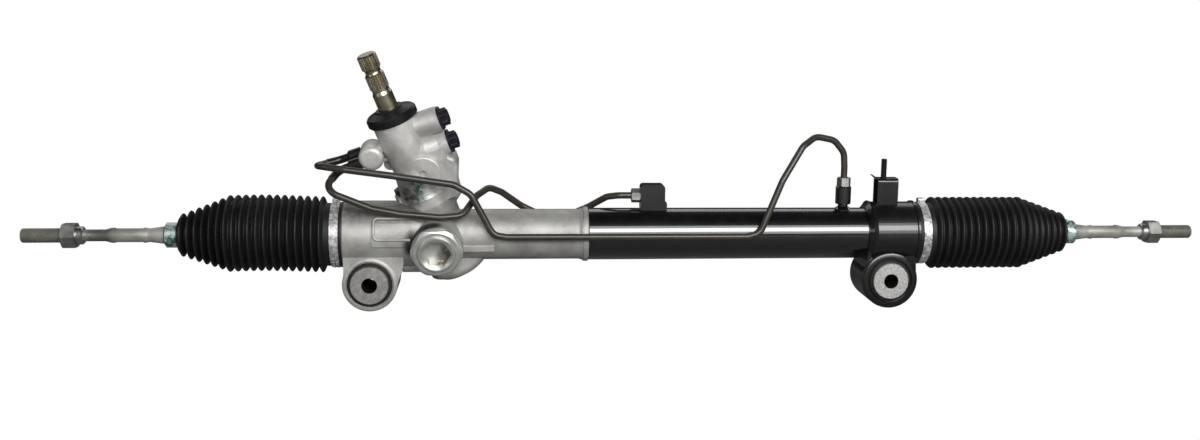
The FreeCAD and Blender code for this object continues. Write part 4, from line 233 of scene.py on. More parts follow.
def plated(name, dark, light, rough=(0.24, 0.32), metallic=1.0):
    """Plated or turned steel with a faint cloud in its sheen."""
    material, nodes, links = new_material(name)
    shader = principled(nodes, metallic)
    place = object_coords(nodes)
    cloud = noise(nodes, links, place, 90.0, 3.0, 0.5)
    links.new(ramp(nodes, links, cloud, [(0.3, dark), (0.7, light)]), shader.inputs["Base Color"])
    links.new(span(nodes, links, cloud, 0.3, 0.7, *rough), shader.inputs["Roughness"])
    return material


def mottled(name, stops, scale, rough, metallic):
    """Dull plating with flecks in three tones."""
    material, nodes, links = new_material(name)
    shader = principled(nodes, metallic)
    fleck = noise(nodes, links, object_coords(nodes), scale, 4.0, 0.6)
    links.new(ramp(nodes, links, fleck, stops), shader.inputs["Base Color"])
    links.new(span(nodes, links, fleck, 0.3, 0.7, *rough), shader.inputs["Roughness"])
    return material


def rubber(name, colour, rough=(0.42, 0.6), bloom=0.5, specular=0.35):
    """Rubber or plastic with a paler haze on it."""
    _, nodes, links = new_material(name)
    shader = principled(nodes, 0.0, specular)
    place = object_coords(nodes)
    haze = noise(nodes, links, place, 45.0, 5.0, 0.65)
    lighter = tuple(min(1.0, c * (1 + bloom) + 0.001) for c in colour)
    links.new(ramp(nodes, links, haze, [(0.4, colour), (0.75, lighter)]), shader.inputs["Base Color"])
    fine = noise(nodes, links, place, 1600.0, 2.0, 0.5)
    links.new(span(nodes, links, haze, 0.35, 0.7, *rough), shader.inputs["Roughness"])
    links.new(bump(nodes, links, fine, 0.15, 0.00012), shader.inputs["Normal"])


# Finishes of the plain sub-parts

CAST_TONES = (0.27, 0.265, 0.25), (0.42, 0.415, 0.395)
cast_metal("cast_aluminium", *CAST_TONES)
painted("black_paint", (0.0020, 0.0019, 0.0024))
painted(
    "black_casting", (0.0034, 0.0032, 0.0037),
    rough=0.32, orange_peel=0.25, coat=0.55, specular=0.3, coat_ior=1.6)
painted(
    "line_coat", (0.026, 0.022, 0.018),
    rough=0.32, orange_peel=0.05, coat=0.2, specular=0.5, coat_ior=1.5)
painted(
    "line_nut_black", (0.006, 0.006, 0.007),
    rough=0.28, orange_peel=0.05, coat=0.3, specular=0.4, coat_ior=1.5)
rubber("boot_rubber", (0.0026, 0.0026, 0.0029), rough=(0.5, 0.62), specular=0.5)
rubber("bush_rubber", (0.010, 0.010, 0.010))
rubber("seal_rubber", (0.02, 0.015, 0.012))
rubber("cover_plastic", (0.005, 0.005, 0.006), rough=(0.38, 0.5), specular=0.25)
rubber("plug_plastic", (0.012, 0.009, 0.015), rough=(0.28, 0.42))
rubber("nylon", (0.55, 0.54, 0.48), rough=(0.35, 0.5), bloom=0.1)
rubber("ptfe", (0.16, 0.10, 0.055), rough=(0.35, 0.5), bloom=0.2)
plated("thread_steel", (0.17, 0.168, 0.145), (0.24, 0.237, 0.205), rough=(0.46, 0.56), metallic=0.45)
plated("zinc_silver", (0.36, 0.36, 0.35), (0.50, 0.50, 0.48), rough=(0.32, 0.42))
plated("zinc_yellow", (0.40, 0.36, 0.26), (0.55, 0.50, 0.37), rough=(0.26, 0.36))
plated("zinc_green", (0.58, 0.60, 0.56), (0.74, 0.75, 0.72), rough=(0.36, 0.46), metallic=0.85)
plated("ground_steel", (0.50, 0.50, 0.50), (0.62, 0.62, 0.62), rough=(0.15, 0.25))
plated("hardened_steel", (0.30, 0.30, 0.30), (0.42, 0.42, 0.42))
plated("bronze", (0.45, 0.30, 0.13), (0.58, 0.42, 0.20))
mottled(
    "washer_steel", [(0.34, (0.32, 0.305, 0.285)), (0.5, (0.47, 0.45, 0.42)), (0.66, (0.62, 0.60, 0.56))],
    scale=420.0, rough=(0.40, 0.52), metallic=0.75)
mottled(
    "clip_zinc", [(0.40, (0.05, 0.08, 0.07)), (0.46, (0.14, 0.33, 0.28)), (0.53, (0.52, 0.57, 0.55))],
    scale=150.0, rough=(0.3, 0.42), metallic=0.6)
mottled(
    "clamp_zinc", [(0.36, (0.28, 0.26, 0.26)), (0.5, (0.48, 0.46, 0.46)), (0.64, (0.74, 0.73, 0.72))],
    scale=300.0, rough=(0.34, 0.5), metallic=0.55)


# Finishes with marks, smears, darker patches and painted light and shade in set places, given in mm

RAGGED, EVEN = (0.38, 0.52), (-0.2, 0.6)


def on_boss(degrees, out, radius):
    """Point round the axis of the rack guide's boss, at a distance out from the rack's axis."""
    turn = math.radians(degrees)
    upward = Vector((0.0, -PINION_N.z, PINION_N.y))
    across = Vector((math.cos(turn), 0.0, 0.0)) + upward * math.sin(turn)
    return tuple(Vector((PINION_O.x, 0.0, RACK_Z)) - PINION_N * out + across * radius)


def tower_finish():
    """Casting in paler tones as painted light, with green paint marks above each other and painted shade at
    the tower's foot.
    """
    paint_marks = (((44.5, -15.5, 97.0), 8.0), ((46.5, -14.0, 90.0), 8.0), ((48.5, -12.0, 79.0), 8.0))
    foot = (((36.0, -12.5, 83.0), 17.0),)
    # Tones paler than CAST_TONES: painted light on the tower
    casting = cast_metal("marked_aluminium_lit_and_shaded", (0.37, 0.365, 0.35), (0.60, 0.595, 0.575))
    daubed(casting, (0.008, 0.10, 0.065), paint_marks, RAGGED)
    # Painted shade at the tower's foot
    daubed(casting, (0.05, 0.046, 0.042), foot, EVEN)


def body_finish():
    """Casting with painted shade under the tower, round the guide boss and, less so, along its top."""
    tower_foot = (((33.0, -11.0, 76.0), 13.0), ((44.0, -16.0, 73.5), 11.0))
    boss_wall = tuple((on_boss(degrees, 35.0, 25.0), 9.5) for degrees in range(95, 200, 15))
    top = (((-12.0, -18.0, 73.0), 27.0), ((20.0, -18.0, 73.0), 27.0))
    casting = cast_metal("aluminium_with_painted_shade", *CAST_TONES)
    # Painted shade: under the tower's foot, on the guide boss's shaded wall and, paler, along the top
    daubed(casting, (0.04, 0.037, 0.034), tower_foot, EVEN)
    daubed(casting, (0.022, 0.020, 0.019), boss_wall, (-0.2, 0.5))
    daubed(casting, (0.13, 0.128, 0.12), top, EVEN)


def guide_plug_finish():
    """Pale zinc with brown smears in the right half of the hexagon."""
    places = ((10, 8.5), (-10, 11.0), (-30, 7.5), (-40, 12.0), (-65, 11.0))
    smears = tuple((on_boss(degrees, 42.0, reach), 9.0) for degrees, reach in places)
    zinc = plated("smeared_zinc", (0.56, 0.57, 0.53), (0.72, 0.73, 0.69), rough=(0.36, 0.46), metallic=0.85)
    daubed(zinc, (0.21, 0.18, 0.155), smears, (0.34, 0.52))


def bush_sleeve_finish():
    """Flecked steel, darker on the left sleeve's face, with painted shade in the bores."""
    left_face = (((LEFT_BORE, -30.0, 0.0), 64.0),)
    steel = mottled(
        "bored_steel",
        [(0.36, (0.48, 0.465, 0.45)), (0.5, (0.62, 0.605, 0.585)), (0.64, (0.74, 0.725, 0.705))],
        scale=620.0, rough=(0.40, 0.52), metallic=1.0)
    daubed(steel, (0.38, 0.36, 0.345), left_face, (0.1, 0.6))
    paint_bore_shade(steel, BORE_RADIUS, (LEFT_BORE, RIGHT_BORE))


def tie_rod_finish():
    """Dull forged steel, with a dark band on the left rod between its nut and the forging."""
    places = ((-257.0, 14.0), (-250.0, 14.0), (-243.0, 13.0))
    band = tuple(((x, 0.0, RACK_Z), radius) for x, radius in places)
    steel = plated("rod_steel", (0.24, 0.235, 0.215), (0.39, 0.385, 0.36), rough=(0.46, 0.58), metallic=0.45)
    daubed(steel, (0.10, 0.098, 0.088), band, EVEN)


tower_finish()
body_finish()
guide_plug_finish()
bush_sleeve_finish()
tie_rod_finish()

NODE_MATERIALS = {
    "valve_housing": "marked_aluminium_lit_and_shaded", "gear_housing": "aluminium_with_painted_shade",
    "right_bracket": "black_casting", "line_bracket": "black_casting",
    "bracket_stud": "line_nut_black", "valve_housing_bolts": "line_nut_black",
    "left_boot_clip": "clip_zinc", "right_boot_clip": "clip_zinc", "boot_clamps": "clamp_zinc",
    "rack_guide_plug": "smeared_zinc", "rack_guide_lock_ring": "zinc_green",
    "left_bush_sleeve": "bored_steel", "right_bush_sleeve": "bored_steel",
}


def finish_nodes():
    """Every CAD node gets the finish of its slot, or the one of its own."""
    slot_of = {part["node"]: part["material_slot"] for part in frame["record"]["subparts"]}
    for name, obj in frame["nodes"].items():
        obj.data.materials.clear()
        obj.data.materials.append(MATERIALS[NODE_MATERIALS.get(name, slot_of[name])])


finish_nodes()


# Mesh helpers

MERGE_GAP, NO_LENGTH = 1e-7, 1e-8


def settle(mesh, smooth):
    """Outward normals; edges sharper than smooth degrees stay crisp."""
    bm = bmesh.new()
    bm.from_mesh(mesh)
    bmesh.ops.remove_doubles(bm, verts=bm.verts, dist=MERGE_GAP)
    bmesh.ops.dissolve_degenerate(bm, edges=bm.edges, dist=NO_LENGTH)
    bmesh.ops.recalc_face_normals(bm, faces=bm.faces)
    for face in bm.faces:
        face.smooth = True
    for edge in bm.edges:
        if len(edge.link_faces) == 2 and edge.calc_face_angle(0.0) > math.radians(smooth):
            edge.smooth = False
    bm.to_mesh(mesh)
    bm.free()


def finished_piece(name, mesh, material):
    """Object at the origin for a mesh that holds its own place, with one finish."""
    mesh.materials.clear()
    mesh.materials.append(MATERIALS[material])
    obj = bpy.data.objects.new(name, mesh)
    bpy.context.scene.collection.objects.link(obj)
    return obj


def add_object(name, verts, faces, material, smooth):
    """Piece from points in mm and faces."""
    mesh = bpy.data.meshes.new(name)
    mesh.from_pydata([Vector(v) * MM for v in verts], [], faces)
    settle(mesh, smooth)
    return finished_piece(name, mesh, material)


def revolve(profile, place):
    """Closed (along, radius) outline turned round an axis; place maps (along, across, up) to mm."""
    steps = 96
    verts, faces = [], []
    count = len(profile)
    for j in range(steps):
        turn = 2 * math.pi * j / steps
        for along, radius in profile:
            verts.append(place(along, radius * math.cos(turn), radius * math.sin(turn)))
    for j in range(steps):
        k = (j + 1) % steps
        for i in range(count):
            n = (i + 1) % count
            faces.append((j * count + i, j * count + n, k * count + n, k * count + i))
    return verts, faces


def along_rack(origin, outward):
    """Map of (along, across, up) to a place in mm, for what lies round the rack's axis."""
    return lambda s, y, z: (origin + outward * s, y, RACK_Z + z)


# Geometry node trees

def new_tree(name, sizes, takes_geometry=False):
    """Empty tree with named size inputs; returns the tree and its input sockets by name."""
    tree = bpy.data.node_groups.new(name, "GeometryNodeTree")
    if takes_geometry:
        tree.interface.new_socket("Geometry", in_out="INPUT", socket_type="NodeSocketGeometry")
    for label, kind in sizes:
        tree.interface.new_socket(label, in_out="INPUT", socket_type=kind)
    tree.interface.new_socket("Geometry", in_out="OUTPUT", socket_type="NodeSocketGeometry")
    given = tree.nodes.new("NodeGroupInput")
    return tree, {socket.name: socket for socket in given.outputs}


def finish_tree(tree, geometry, material):
    """Every tree ends in Realize Instances and Set Material."""
    real = tree.nodes.new("GeometryNodeRealizeInstances")
    paint = tree.nodes.new("GeometryNodeSetMaterial")
    out = tree.nodes.new("NodeGroupOutput")
    tree.links.new(geometry, real.inputs[0])
    tree.links.new(real.outputs[0], paint.inputs["Geometry"])
    tree.links.new(material, paint.inputs["Material"])
    tree.links.new(paint.outputs[0], out.inputs[0])


def math_node(tree, operation, *values):
    """Result socket of a Math node on numbers or sockets."""
    node = tree.nodes.new("ShaderNodeMath")
    node.operation = operation
    for socket, value in zip(node.inputs, values):
        if isinstance(value, (int, float)):
            socket.default_value = value
        else:
            tree.links.new(value, socket)
    return node.outputs[0]


def grow(name, tree, sizes, material, source=None, smooth=40.0):
    """Run a tree with its sizes and keep the result as one plain closed mesh."""
    holder = bpy.data.objects.new(name + "_source", source or bpy.data.meshes.new(name + "_source"))
    bpy.context.scene.collection.objects.link(holder)
    modifier = holder.modifiers.new("nodes", "NODES")
    modifier.node_group = tree
    names = {item.name: item.identifier for item in tree.interface.items_tree if item.in_out == "INPUT"}
    for label, value in sizes.items():
        modifier[names[label]] = value
    modifier[names["Material"]] = MATERIALS[material]
    bpy.context.view_layer.update()
    depsgraph = bpy.context.evaluated_depsgraph_get()
    mesh = bpy.data.meshes.new_from_object(holder.evaluated_get(depsgraph))
    holder.modifiers.remove(modifier)
    bpy.data.objects.remove(holder)
    mesh.name = name
    settle(mesh, smooth)
    return finished_piece(name, mesh, material)


# Bellows boots: ribs at an even pitch, with a cone of smaller ribs towards the rod

END_DROP, END_RUN = 3.6, 3.0
FOLD_SHARPNESS = 0.85
WELD = 0.008


def bellows_tree():
    """Wall of a boot, outside and inside, as a sheet that is folded once and wrapped round the axis."""
    sizes = [(label, "NodeSocketFloat") for label in (
        "Shoulder", "Outward", "Start", "End", "First", "Last", "Ribs", "Cone Ribs", "Full Radius",
        "Small Radius", "Depth", "Cone Depth", "Wall", "Neck Radius", "Lip Radius", "Lip End",
        "Sleeve", "Sleeve Radius", "Bow", "Height")]
    sizes += [("Rows", "NodeSocketInt"), ("Sides", "NodeSocketInt"), ("Material", "NodeSocketMaterial")]
    tree, given = new_tree("bellows", sizes)

    def calc(operation, *values):
        return math_node(tree, operation, *values)

    def pick(flag, yes, no):
        return calc("ADD", calc("MULTIPLY", flag, yes), calc("MULTIPLY", calc("SUBTRACT", 1.0, flag), no))

    grid = tree.nodes.new("GeometryNodeMeshGrid")
    tree.links.new(given["Rows"], grid.inputs["Vertices X"])
    tree.links.new(given["Sides"], grid.inputs["Vertices Y"])
    place = tree.nodes.new("ShaderNodeSeparateXYZ")
    tree.links.new(tree.nodes.new("GeometryNodeInputPosition").outputs[0], place.inputs[0])
    sheet = calc("ADD", place.outputs[0], 0.5)
    turn = calc("MULTIPLY", calc("ADD", place.outputs[1], 0.5), 2 * math.pi)
    fold = calc("SUBTRACT", 1.0, calc("ABSOLUTE", calc("SUBTRACT", calc("MULTIPLY", sheet, 2.0), 1.0)))
    # A little overrun makes both walls reach the very ends
    overrun = calc("SUBTRACT", calc("MULTIPLY", fold, 1.02), 0.01)
    share = calc("MINIMUM", calc("MAXIMUM", overrun, 0.0), 1.0)
    length = calc("SUBTRACT", given["End"], given["Start"])
    along = calc("ADD", given["Start"], calc("MULTIPLY", share, length))
    # The second half of the sheet is the inner wall
    inside = calc("MULTIPLY", calc("GREATER_THAN", sheet, 0.5), calc("LESS_THAN", sheet, 0.9999))

    last_rib = calc("SUBTRACT", given["Ribs"], 1.0)
    pitch = calc("DIVIDE", calc("SUBTRACT", given["Last"], given["First"]), last_rib)
    rib_place = calc("DIVIDE", calc("SUBTRACT", along, given["First"]), pitch)

    def rib_radius(index):
        held = calc("MINIMUM", calc("MAXIMUM", index, 0.0), last_rib)
        left = calc("DIVIDE", calc("SUBTRACT", last_rib, held), given["Cone Ribs"])
        taper = calc("MULTIPLY", calc("SUBTRACT", given["Full Radius"], given["Small Radius"]), left)
        return calc("MINIMUM", given["Full Radius"], calc("ADD", given["Small Radius"], taper))

    low = calc("FLOOR", rib_place)
    middle = calc("DIVIDE", calc("ADD", rib_radius(low), rib_radius(calc("ADD", low, 1.0))), 2.0)
    first_half = calc("LESS_THAN", rib_place, 0.0)
    coned = calc("GREATER_THAN", rib_place, calc("SUBTRACT", last_rib, given["Cone Ribs"]))
    depth = pick(coned, given["Cone Depth"], given["Depth"])
    valley = pick(first_half, given["Neck Radius"], calc("SUBTRACT", middle, depth))
    wave = calc("ADD", 0.5, calc("MULTIPLY", 0.5, calc("COSINE", calc("MULTIPLY", rib_place, 2 * math.pi))))
    full_rise = calc("SUBTRACT", rib_radius(calc("ROUND", rib_place)), valley)
    rise = calc("MULTIPLY", full_rise, calc("POWER", wave, FOLD_SHARPNESS))
    ribbed = calc("ADD", valley, rise)
    over = calc("MAXIMUM", calc("SUBTRACT", along, given["Last"]), 0.0)
    half_turn = calc("MULTIPLY", calc("MINIMUM", over, END_RUN), math.pi / END_RUN)
    drop = calc("SUBTRACT", 0.5, calc("MULTIPLY", 0.5, calc("COSINE", half_turn)))
    shoulder_radius = calc("SUBTRACT", given["Small Radius"], calc("MULTIPLY", drop, END_DROP))
    run = calc("SUBTRACT", calc("SUBTRACT", given["Sleeve"], given["Last"]), END_RUN)
    slope = calc("MINIMUM", calc("DIVIDE", calc("MAXIMUM", calc("SUBTRACT", over, END_RUN), 0.0), run), 1.0)
    cone_drop = calc("SUBTRACT", calc("SUBTRACT", given["Small Radius"], END_DROP), given["Sleeve Radius"])
    tail = calc("SUBTRACT", shoulder_radius, calc("MULTIPLY", slope, cone_drop))
    radius = pick(calc("GREATER_THAN", along, given["Last"]), tail, ribbed)
    radius = pick(calc("LESS_THAN", rib_place, -0.5), given["Neck Radius"], radius)
    radius = pick(calc("LESS_THAN", along, given["Lip End"]), given["Lip Radius"], radius)
    neck_inner = calc("SUBTRACT", given["Neck Radius"], given["Wall"])
    inner = calc("SUBTRACT", radius, given["Wall"])
    inner = pick(calc("LESS_THAN", along, given["Lip End"]), neck_inner, inner)
    radius = pick(inside, inner, radius)

    sleeve_share = calc("MINIMUM", calc("DIVIDE", along, given["Sleeve"]), 1.0)
    lift = calc("SINE", calc("MULTIPLY", sleeve_share, math.pi))
    lift = calc("MULTIPLY", given["Bow"], calc("MULTIPLY", lift, lift))
    x = calc("ADD", given["Shoulder"], calc("MULTIPLY", given["Outward"], along))
    y = calc("MULTIPLY", radius, calc("COSINE", turn))
    z = calc("ADD", calc("ADD", given["Height"], lift), calc("MULTIPLY", radius, calc("SINE", turn)))
    join = tree.nodes.new("ShaderNodeCombineXYZ")
    for socket, value in zip(join.inputs, (x, y, z)):
        tree.links.new(calc("MULTIPLY", value, MM), socket)
    move = tree.nodes.new("GeometryNodeSetPosition")
    tree.links.new(grid.outputs["Mesh"], move.inputs["Geometry"])
    tree.links.new(join.outputs[0], move.inputs["Position"])
    merge = tree.nodes.new("GeometryNodeMergeByDistance")
    merge.inputs["Distance"].default_value = WELD * MM
    tree.links.new(move.outputs[0], merge.inputs["Geometry"])
    finish_tree(tree, merge.outputs[0], given["Material"])
    return tree


CLIP_PLACE, CLIP_HALF = 55.0, 6.0
NECK_BEFORE_SLEEVE, NECK_LENGTH = 16.5, 11.5
ROW_STEP = 0.55


def make_boot(tree, side, shoulder, ball, outward, bow, cone_depth):
    """Boot in three pieces, body, neck and cuff, each grown over its own stretch along the axis."""
    clip = abs(ball + outward * CLIP_PLACE - shoulder)
    sleeve, end = clip - CLIP_HALF, clip + CLIP_HALF
    bend = sleeve - NECK_BEFORE_SLEEVE
    turn = bend - NECK_LENGTH
    sizes = {
        "Shoulder": shoulder, "Outward": float(outward), "First": 20.0, "Last": clip - 10.0,
        "Ribs": 19.0, "Cone Ribs": 6.0, "Full Radius": 36.8, "Small Radius": 20.8, "Depth": 5.6,
        "Cone Depth": cone_depth, "Wall": 1.9, "Neck Radius": 30.5, "Lip Radius": LIP_RADIUS,
        "Lip End": 2.6, "Sleeve": sleeve, "Sleeve Radius": 10.5, "Bow": bow, "Height": RACK_Z, "Sides": 97,
    }
    zones = (
        ("body", "housing", "rack", 0.1, turn, 14.0, turn),
        ("neck", "rack", side + "_ball_seat", turn, bend, turn, bend),
        ("cuff", side + "_ball_seat", side + "_tie_rod", bend, end, bend, sleeve - 0.5),
    )
    place = along_rack(shoulder, outward)
    for label, a, b, low, high, start, stop in zones:
        sizes.update({"Start": low, "End": high, "Rows": 2 * int((high - low) / ROW_STEP) + 9})
        obj = grow(side + "_boot_" + label, tree, sizes, "boot_rubber", smooth=60.0)
        Vector(place(start, 0, 0)) * MM
        Vector(place(stop, 0, 0)) * MM
        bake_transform(obj)
        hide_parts(side + "_boot")


bellows = bellows_tree()
make_boot(bellows, "left", LEFT_SHOULDER, LEFT_BALL, -1, 2.0, 8.4)
make_boot(bellows, "right", RIGHT_SHOULDER, RIGHT_BALL, 1, 0.0, 5.2)


# Threads on the tie rods and on the stud

def thread(place, start, end, major, depth, pitch):
    """Threaded bar with chamfered ends: rows of points that wind along it, six to a pitch."""
    columns, parts = 48, 6
    levels = (0.0, 0.45, 1.0, 1.0, 0.45, 0.0)
    core, chamfer = 0.15, 0.8
    rows = int((end - start) / pitch * parts) + 2 * parts + 2
    verts, faces = [], []

    def vertex(i, j):
        along = start + (i / parts - 1) * pitch + pitch * j / columns
        radius = major - depth * levels[i % parts]
        along = min(max(along, start), end)
        root = major - depth
        radius = min(radius, root + core + (along - start) * chamfer, root + (end - along) * chamfer)
        turn = 2 * math.pi * j / columns
        return place(along, radius * math.cos(turn), radius * math.sin(turn))

    for i in range(rows):
        for j in range(columns):
            verts.append(vertex(i, j))
    for i in range(rows - 1):
        for j in range(columns):
            beside = (j + 1) % columns
            step = parts if beside == 0 else 0
            if i + 1 + step >= rows:
                continue
            here, there = i * columns + j, (i + step) * columns + beside
            faces.append((here, here + columns, there + columns, there))
    return verts, faces


def close_holes(obj):
    """Caps on the open ends of a mesh."""
    bm = bmesh.new()
    bm.from_mesh(obj.data)
    edges = [e for e in bm.edges if e.is_boundary]
    if edges:
        bmesh.ops.holes_fill(bm, edges=edges, sides=0)
        bmesh.ops.recalc_face_normals(bm, faces=bm.faces)
    bm.to_mesh(obj.data)
    bm.free()


def cut_copy(node, name, point, outward, material):
    """Closed copy of a node without the part beyond a plane."""
    mesh = frame["nodes"][node].data.copy()
    mesh.name = name
    bm = bmesh.new()
    bm.from_mesh(mesh)
    bmesh.ops.remove_doubles(bm, verts=bm.verts, dist=MERGE_GAP)
    geometry = bm.verts[:] + bm.edges[:] + bm.faces[:]
    cut = bmesh.ops.bisect_plane(
        bm, geom=geometry, plane_co=Vector(point) * MM, plane_no=Vector(outward), clear_outer=True)
    rim = [e for e in cut["geom_cut"] if isinstance(e, bmesh.types.BMEdge)]
    bmesh.ops.holes_fill(bm, edges=rim, sides=0)
    bmesh.ops.recalc_face_normals(bm, faces=bm.faces)
    bm.to_mesh(mesh)
    bm.free()
    return finished_piece(name, mesh, material)


def thread_end(node, body, place, outward, start, end, major, depth, pitch, bar_material, material):
    """Copy of a node whose plain threaded end gets real thread flanks."""
    stem = cut_copy(node, node + "_stem", place(start, 0, 0), outward, bar_material)
    verts, faces = thread(place, start, end, major, depth, pitch)
    threaded = add_object(node + "_thread", verts, faces, material, 30.0)
    close_holes(threaded)
    for obj in (stem, threaded):
        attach(obj, body)
        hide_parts(node)


ROD_THREAD, ROD_TIP = 154.0, 190.5
for side, _, ball, outward in SIDES:
    thread_end(
        side + "_tie_rod", side + "_tie_rod", along_rack(ball, outward), (outward, 0, 0),
        ROD_THREAD, ROD_TIP, major=6.9, depth=0.85, pitch=1.5,
        bar_material="rod_steel", material="thread_steel")

STUD_X, STUD_FOOT, STUD_TIP = 510.4, 101.0, 120.0
thread_end(
    "bracket_stud", "housing", lambda s, y, z: (STUD_X + y, z, s), (0, 0, 1),
    STUD_FOOT, STUD_TIP, major=3.1, depth=0.55, pitch=1.0,
    bar_material="line_nut_black", material="line_nut_black")


# Pieces that follow a path: sleeves on the first run of the pressure lines and the rim of the cast pad

def pipe_tree():
    """Round bar with closed ends along the given curve."""
    sizes = [("Radius", "NodeSocketFloat"), ("Sides", "NodeSocketInt"), ("Material", "NodeSocketMaterial")]
    tree, given = new_tree("pipe", sizes, True)
    section = tree.nodes.new("GeometryNodeCurvePrimitiveCircle")
    tree.links.new(given["Sides"], section.inputs["Resolution"])
    tree.links.new(given["Radius"], section.inputs["Radius"])
    sweep = tree.nodes.new("GeometryNodeCurveToMesh")
    sweep.inputs["Fill Caps"].default_value = True
    tree.links.new(given["Geometry"], sweep.inputs["Curve"])
    tree.links.new(section.outputs["Curve"], sweep.inputs["Profile Curve"])
    finish_tree(tree, sweep.outputs[0], given["Material"])
    return tree


def rounded_route(points, bend):
    """Straight runs joined by tangent arcs, as a list of points."""
    steps, longest_trim = 8, 0.45
    route = [points[0]]
    for before, corner, after in zip(points, points[1:], points[2:]):
        back, ahead = before - corner, after - corner
        shorter = min(back.length, ahead.length)
        back.normalize()
        ahead.normalize()
        half = back.angle(ahead) / 2
        trim = min(bend / math.tan(half), longest_trim * shorter)
        radius = trim * math.tan(half)
        middle = (back + ahead).normalized()
        centre = corner + middle * (radius / math.sin(half))
        first, last = corner + back * trim - centre, corner + ahead * trim - centre
        axis, sweep = first.cross(last), first.angle(last)
        for step in range(steps + 1):
            route.append(centre + Quaternion(axis, sweep * step / steps) @ first)
    route.append(points[-1])
    return route


def stretch_of(route, start, end):
    """Part of a route between two distances along it."""
    kept, run = [], 0.0
    for a, b in zip(route, route[1:]):
        length = (b - a).length
        for at in (start, end):
            if run <= at < run + length:
                kept.append(a.lerp(b, (at - run) / length))
        run += length
        if start < run < end:
            kept.append(b)
    return kept


def pipe(tree, name, route, radius, material, sides=32):
    """Bar along a list of points in mm, riding on the housing."""
    curve = bpy.data.curves.new(name + "_path", "CURVE")
    curve.dimensions = "3D"
    spline = curve.splines.new("POLY")
    spline.points.add(len(route) - 1)
    for point, place in zip(spline.points, route):
        point.co = (*(place * MM), 1.0)
    obj = grow(name, tree, {"Radius": radius * MM, "Sides": sides}, material, curve)
    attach(obj, "housing")


def at_pinion(x, y, z):
    """Place in mm of a point given in the pinion's frame."""
    return PINION_O + PINION_U * x + PINION_N * y + PINION_A * z


pipes = pipe_tree()
NUT_END, FIRST_CORNER = -38.5, -65.5
LINE_BEND, SLEEVE_START, SLEEVE_RADIUS = 14.0, 16.6, 3.85
LINE_STARTS = (
    ("long_line_sleeve", 7.0, 96.0, ((-50.0, -4.0, 111.5), (-44.0, -24.0, 113.5)), 38.0),
    ("short_line_sleeve", -7.0, 91.0, ((-41.0, -31.0, 92.0), (3.5, -33.5, 74.5)), 40.0),
)
for name, y, z, bends, reach in LINE_STARTS:
    corners = [at_pinion(NUT_END, y, z), at_pinion(FIRST_CORNER, y, z)] + [Vector(b) for b in bends]
    route = stretch_of(rounded_route(corners, LINE_BEND), SLEEVE_START, reach)
    pipe(pipes, name, route, SLEEVE_RADIUS, "line_nut_black")


def on_body(x, angle, radius):
    """Place in mm on the body's round wall, at an angle above the front."""
    turn = math.radians(angle)
    return Vector((x, -radius * math.cos(turn), RACK_Z + radius * math.sin(turn)))


def pad_rim():
    """Rim round the cast pad on the gear housing, open towards the rack guide."""
    left, right, corner, radius = 4.6, 39.0, 4.0, 34.3
    low, high = 0.7, 35.7
    slope = math.degrees(corner / radius)
    corner_steps, side_steps = 6, 8
    marks = [(right, high)]
    for step in range(corner_steps + 1):
        turn = math.pi / 2 * step / corner_steps
        marks.append((left + corner * (1 - math.sin(turn)), high - slope * (1 - math.cos(turn))))
    for step in range(1, side_steps):
        marks.append((left, high - slope + (low - high + 2 * slope) * step / side_steps))
    for step in range(corner_steps + 1):
        turn = math.pi / 2 * step / corner_steps
        marks.append((left + corner * (1 - math.cos(turn)), low + slope * (1 - math.sin(turn))))
    marks.append((right, low))
    return [on_body(x, angle, radius) for x, angle in marks]


pipe(pipes, "pad_rim", pad_rim(), 1.5, "cast_aluminium", 20)


# Rims of the mounting ears and collars of the lock nuts

def turned_piece(name, profile, place, material, body):
    """Closed (along, radius) outline turned round an axis, riding on a body."""
    verts, faces = revolve(profile, place)
    obj = add_object(name, verts, faces, material, 35.0)
    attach(obj, body)


for name, centre, outer, material in (
        ("left_ear_rim", LEFT_BORE, 25.9, "cast_aluminium"),
        ("right_ear_rim", RIGHT_BORE, 28.2, "black_casting")):
    rim = ((26.5, 22.2), (29.3, 22.2), (29.8, 22.7), (29.8, outer - 1.2), (29.0, outer), (26.5, outer))
    turned_piece(name, rim, lambda s, a, b, c=centre: (c + a, -s, b), material, "housing")

for side, _, ball, outward in SIDES:
    collar = ((134.8, 6.3), (134.8, 7.4), (136.0, 8.6), (140.9, 8.6), (140.9, 6.3))
    turned_piece(side + "_nut_collar", collar, along_rack(ball, outward), "zinc_silver", side + "_tie_rod")


# Raised pips round the large boot clamps

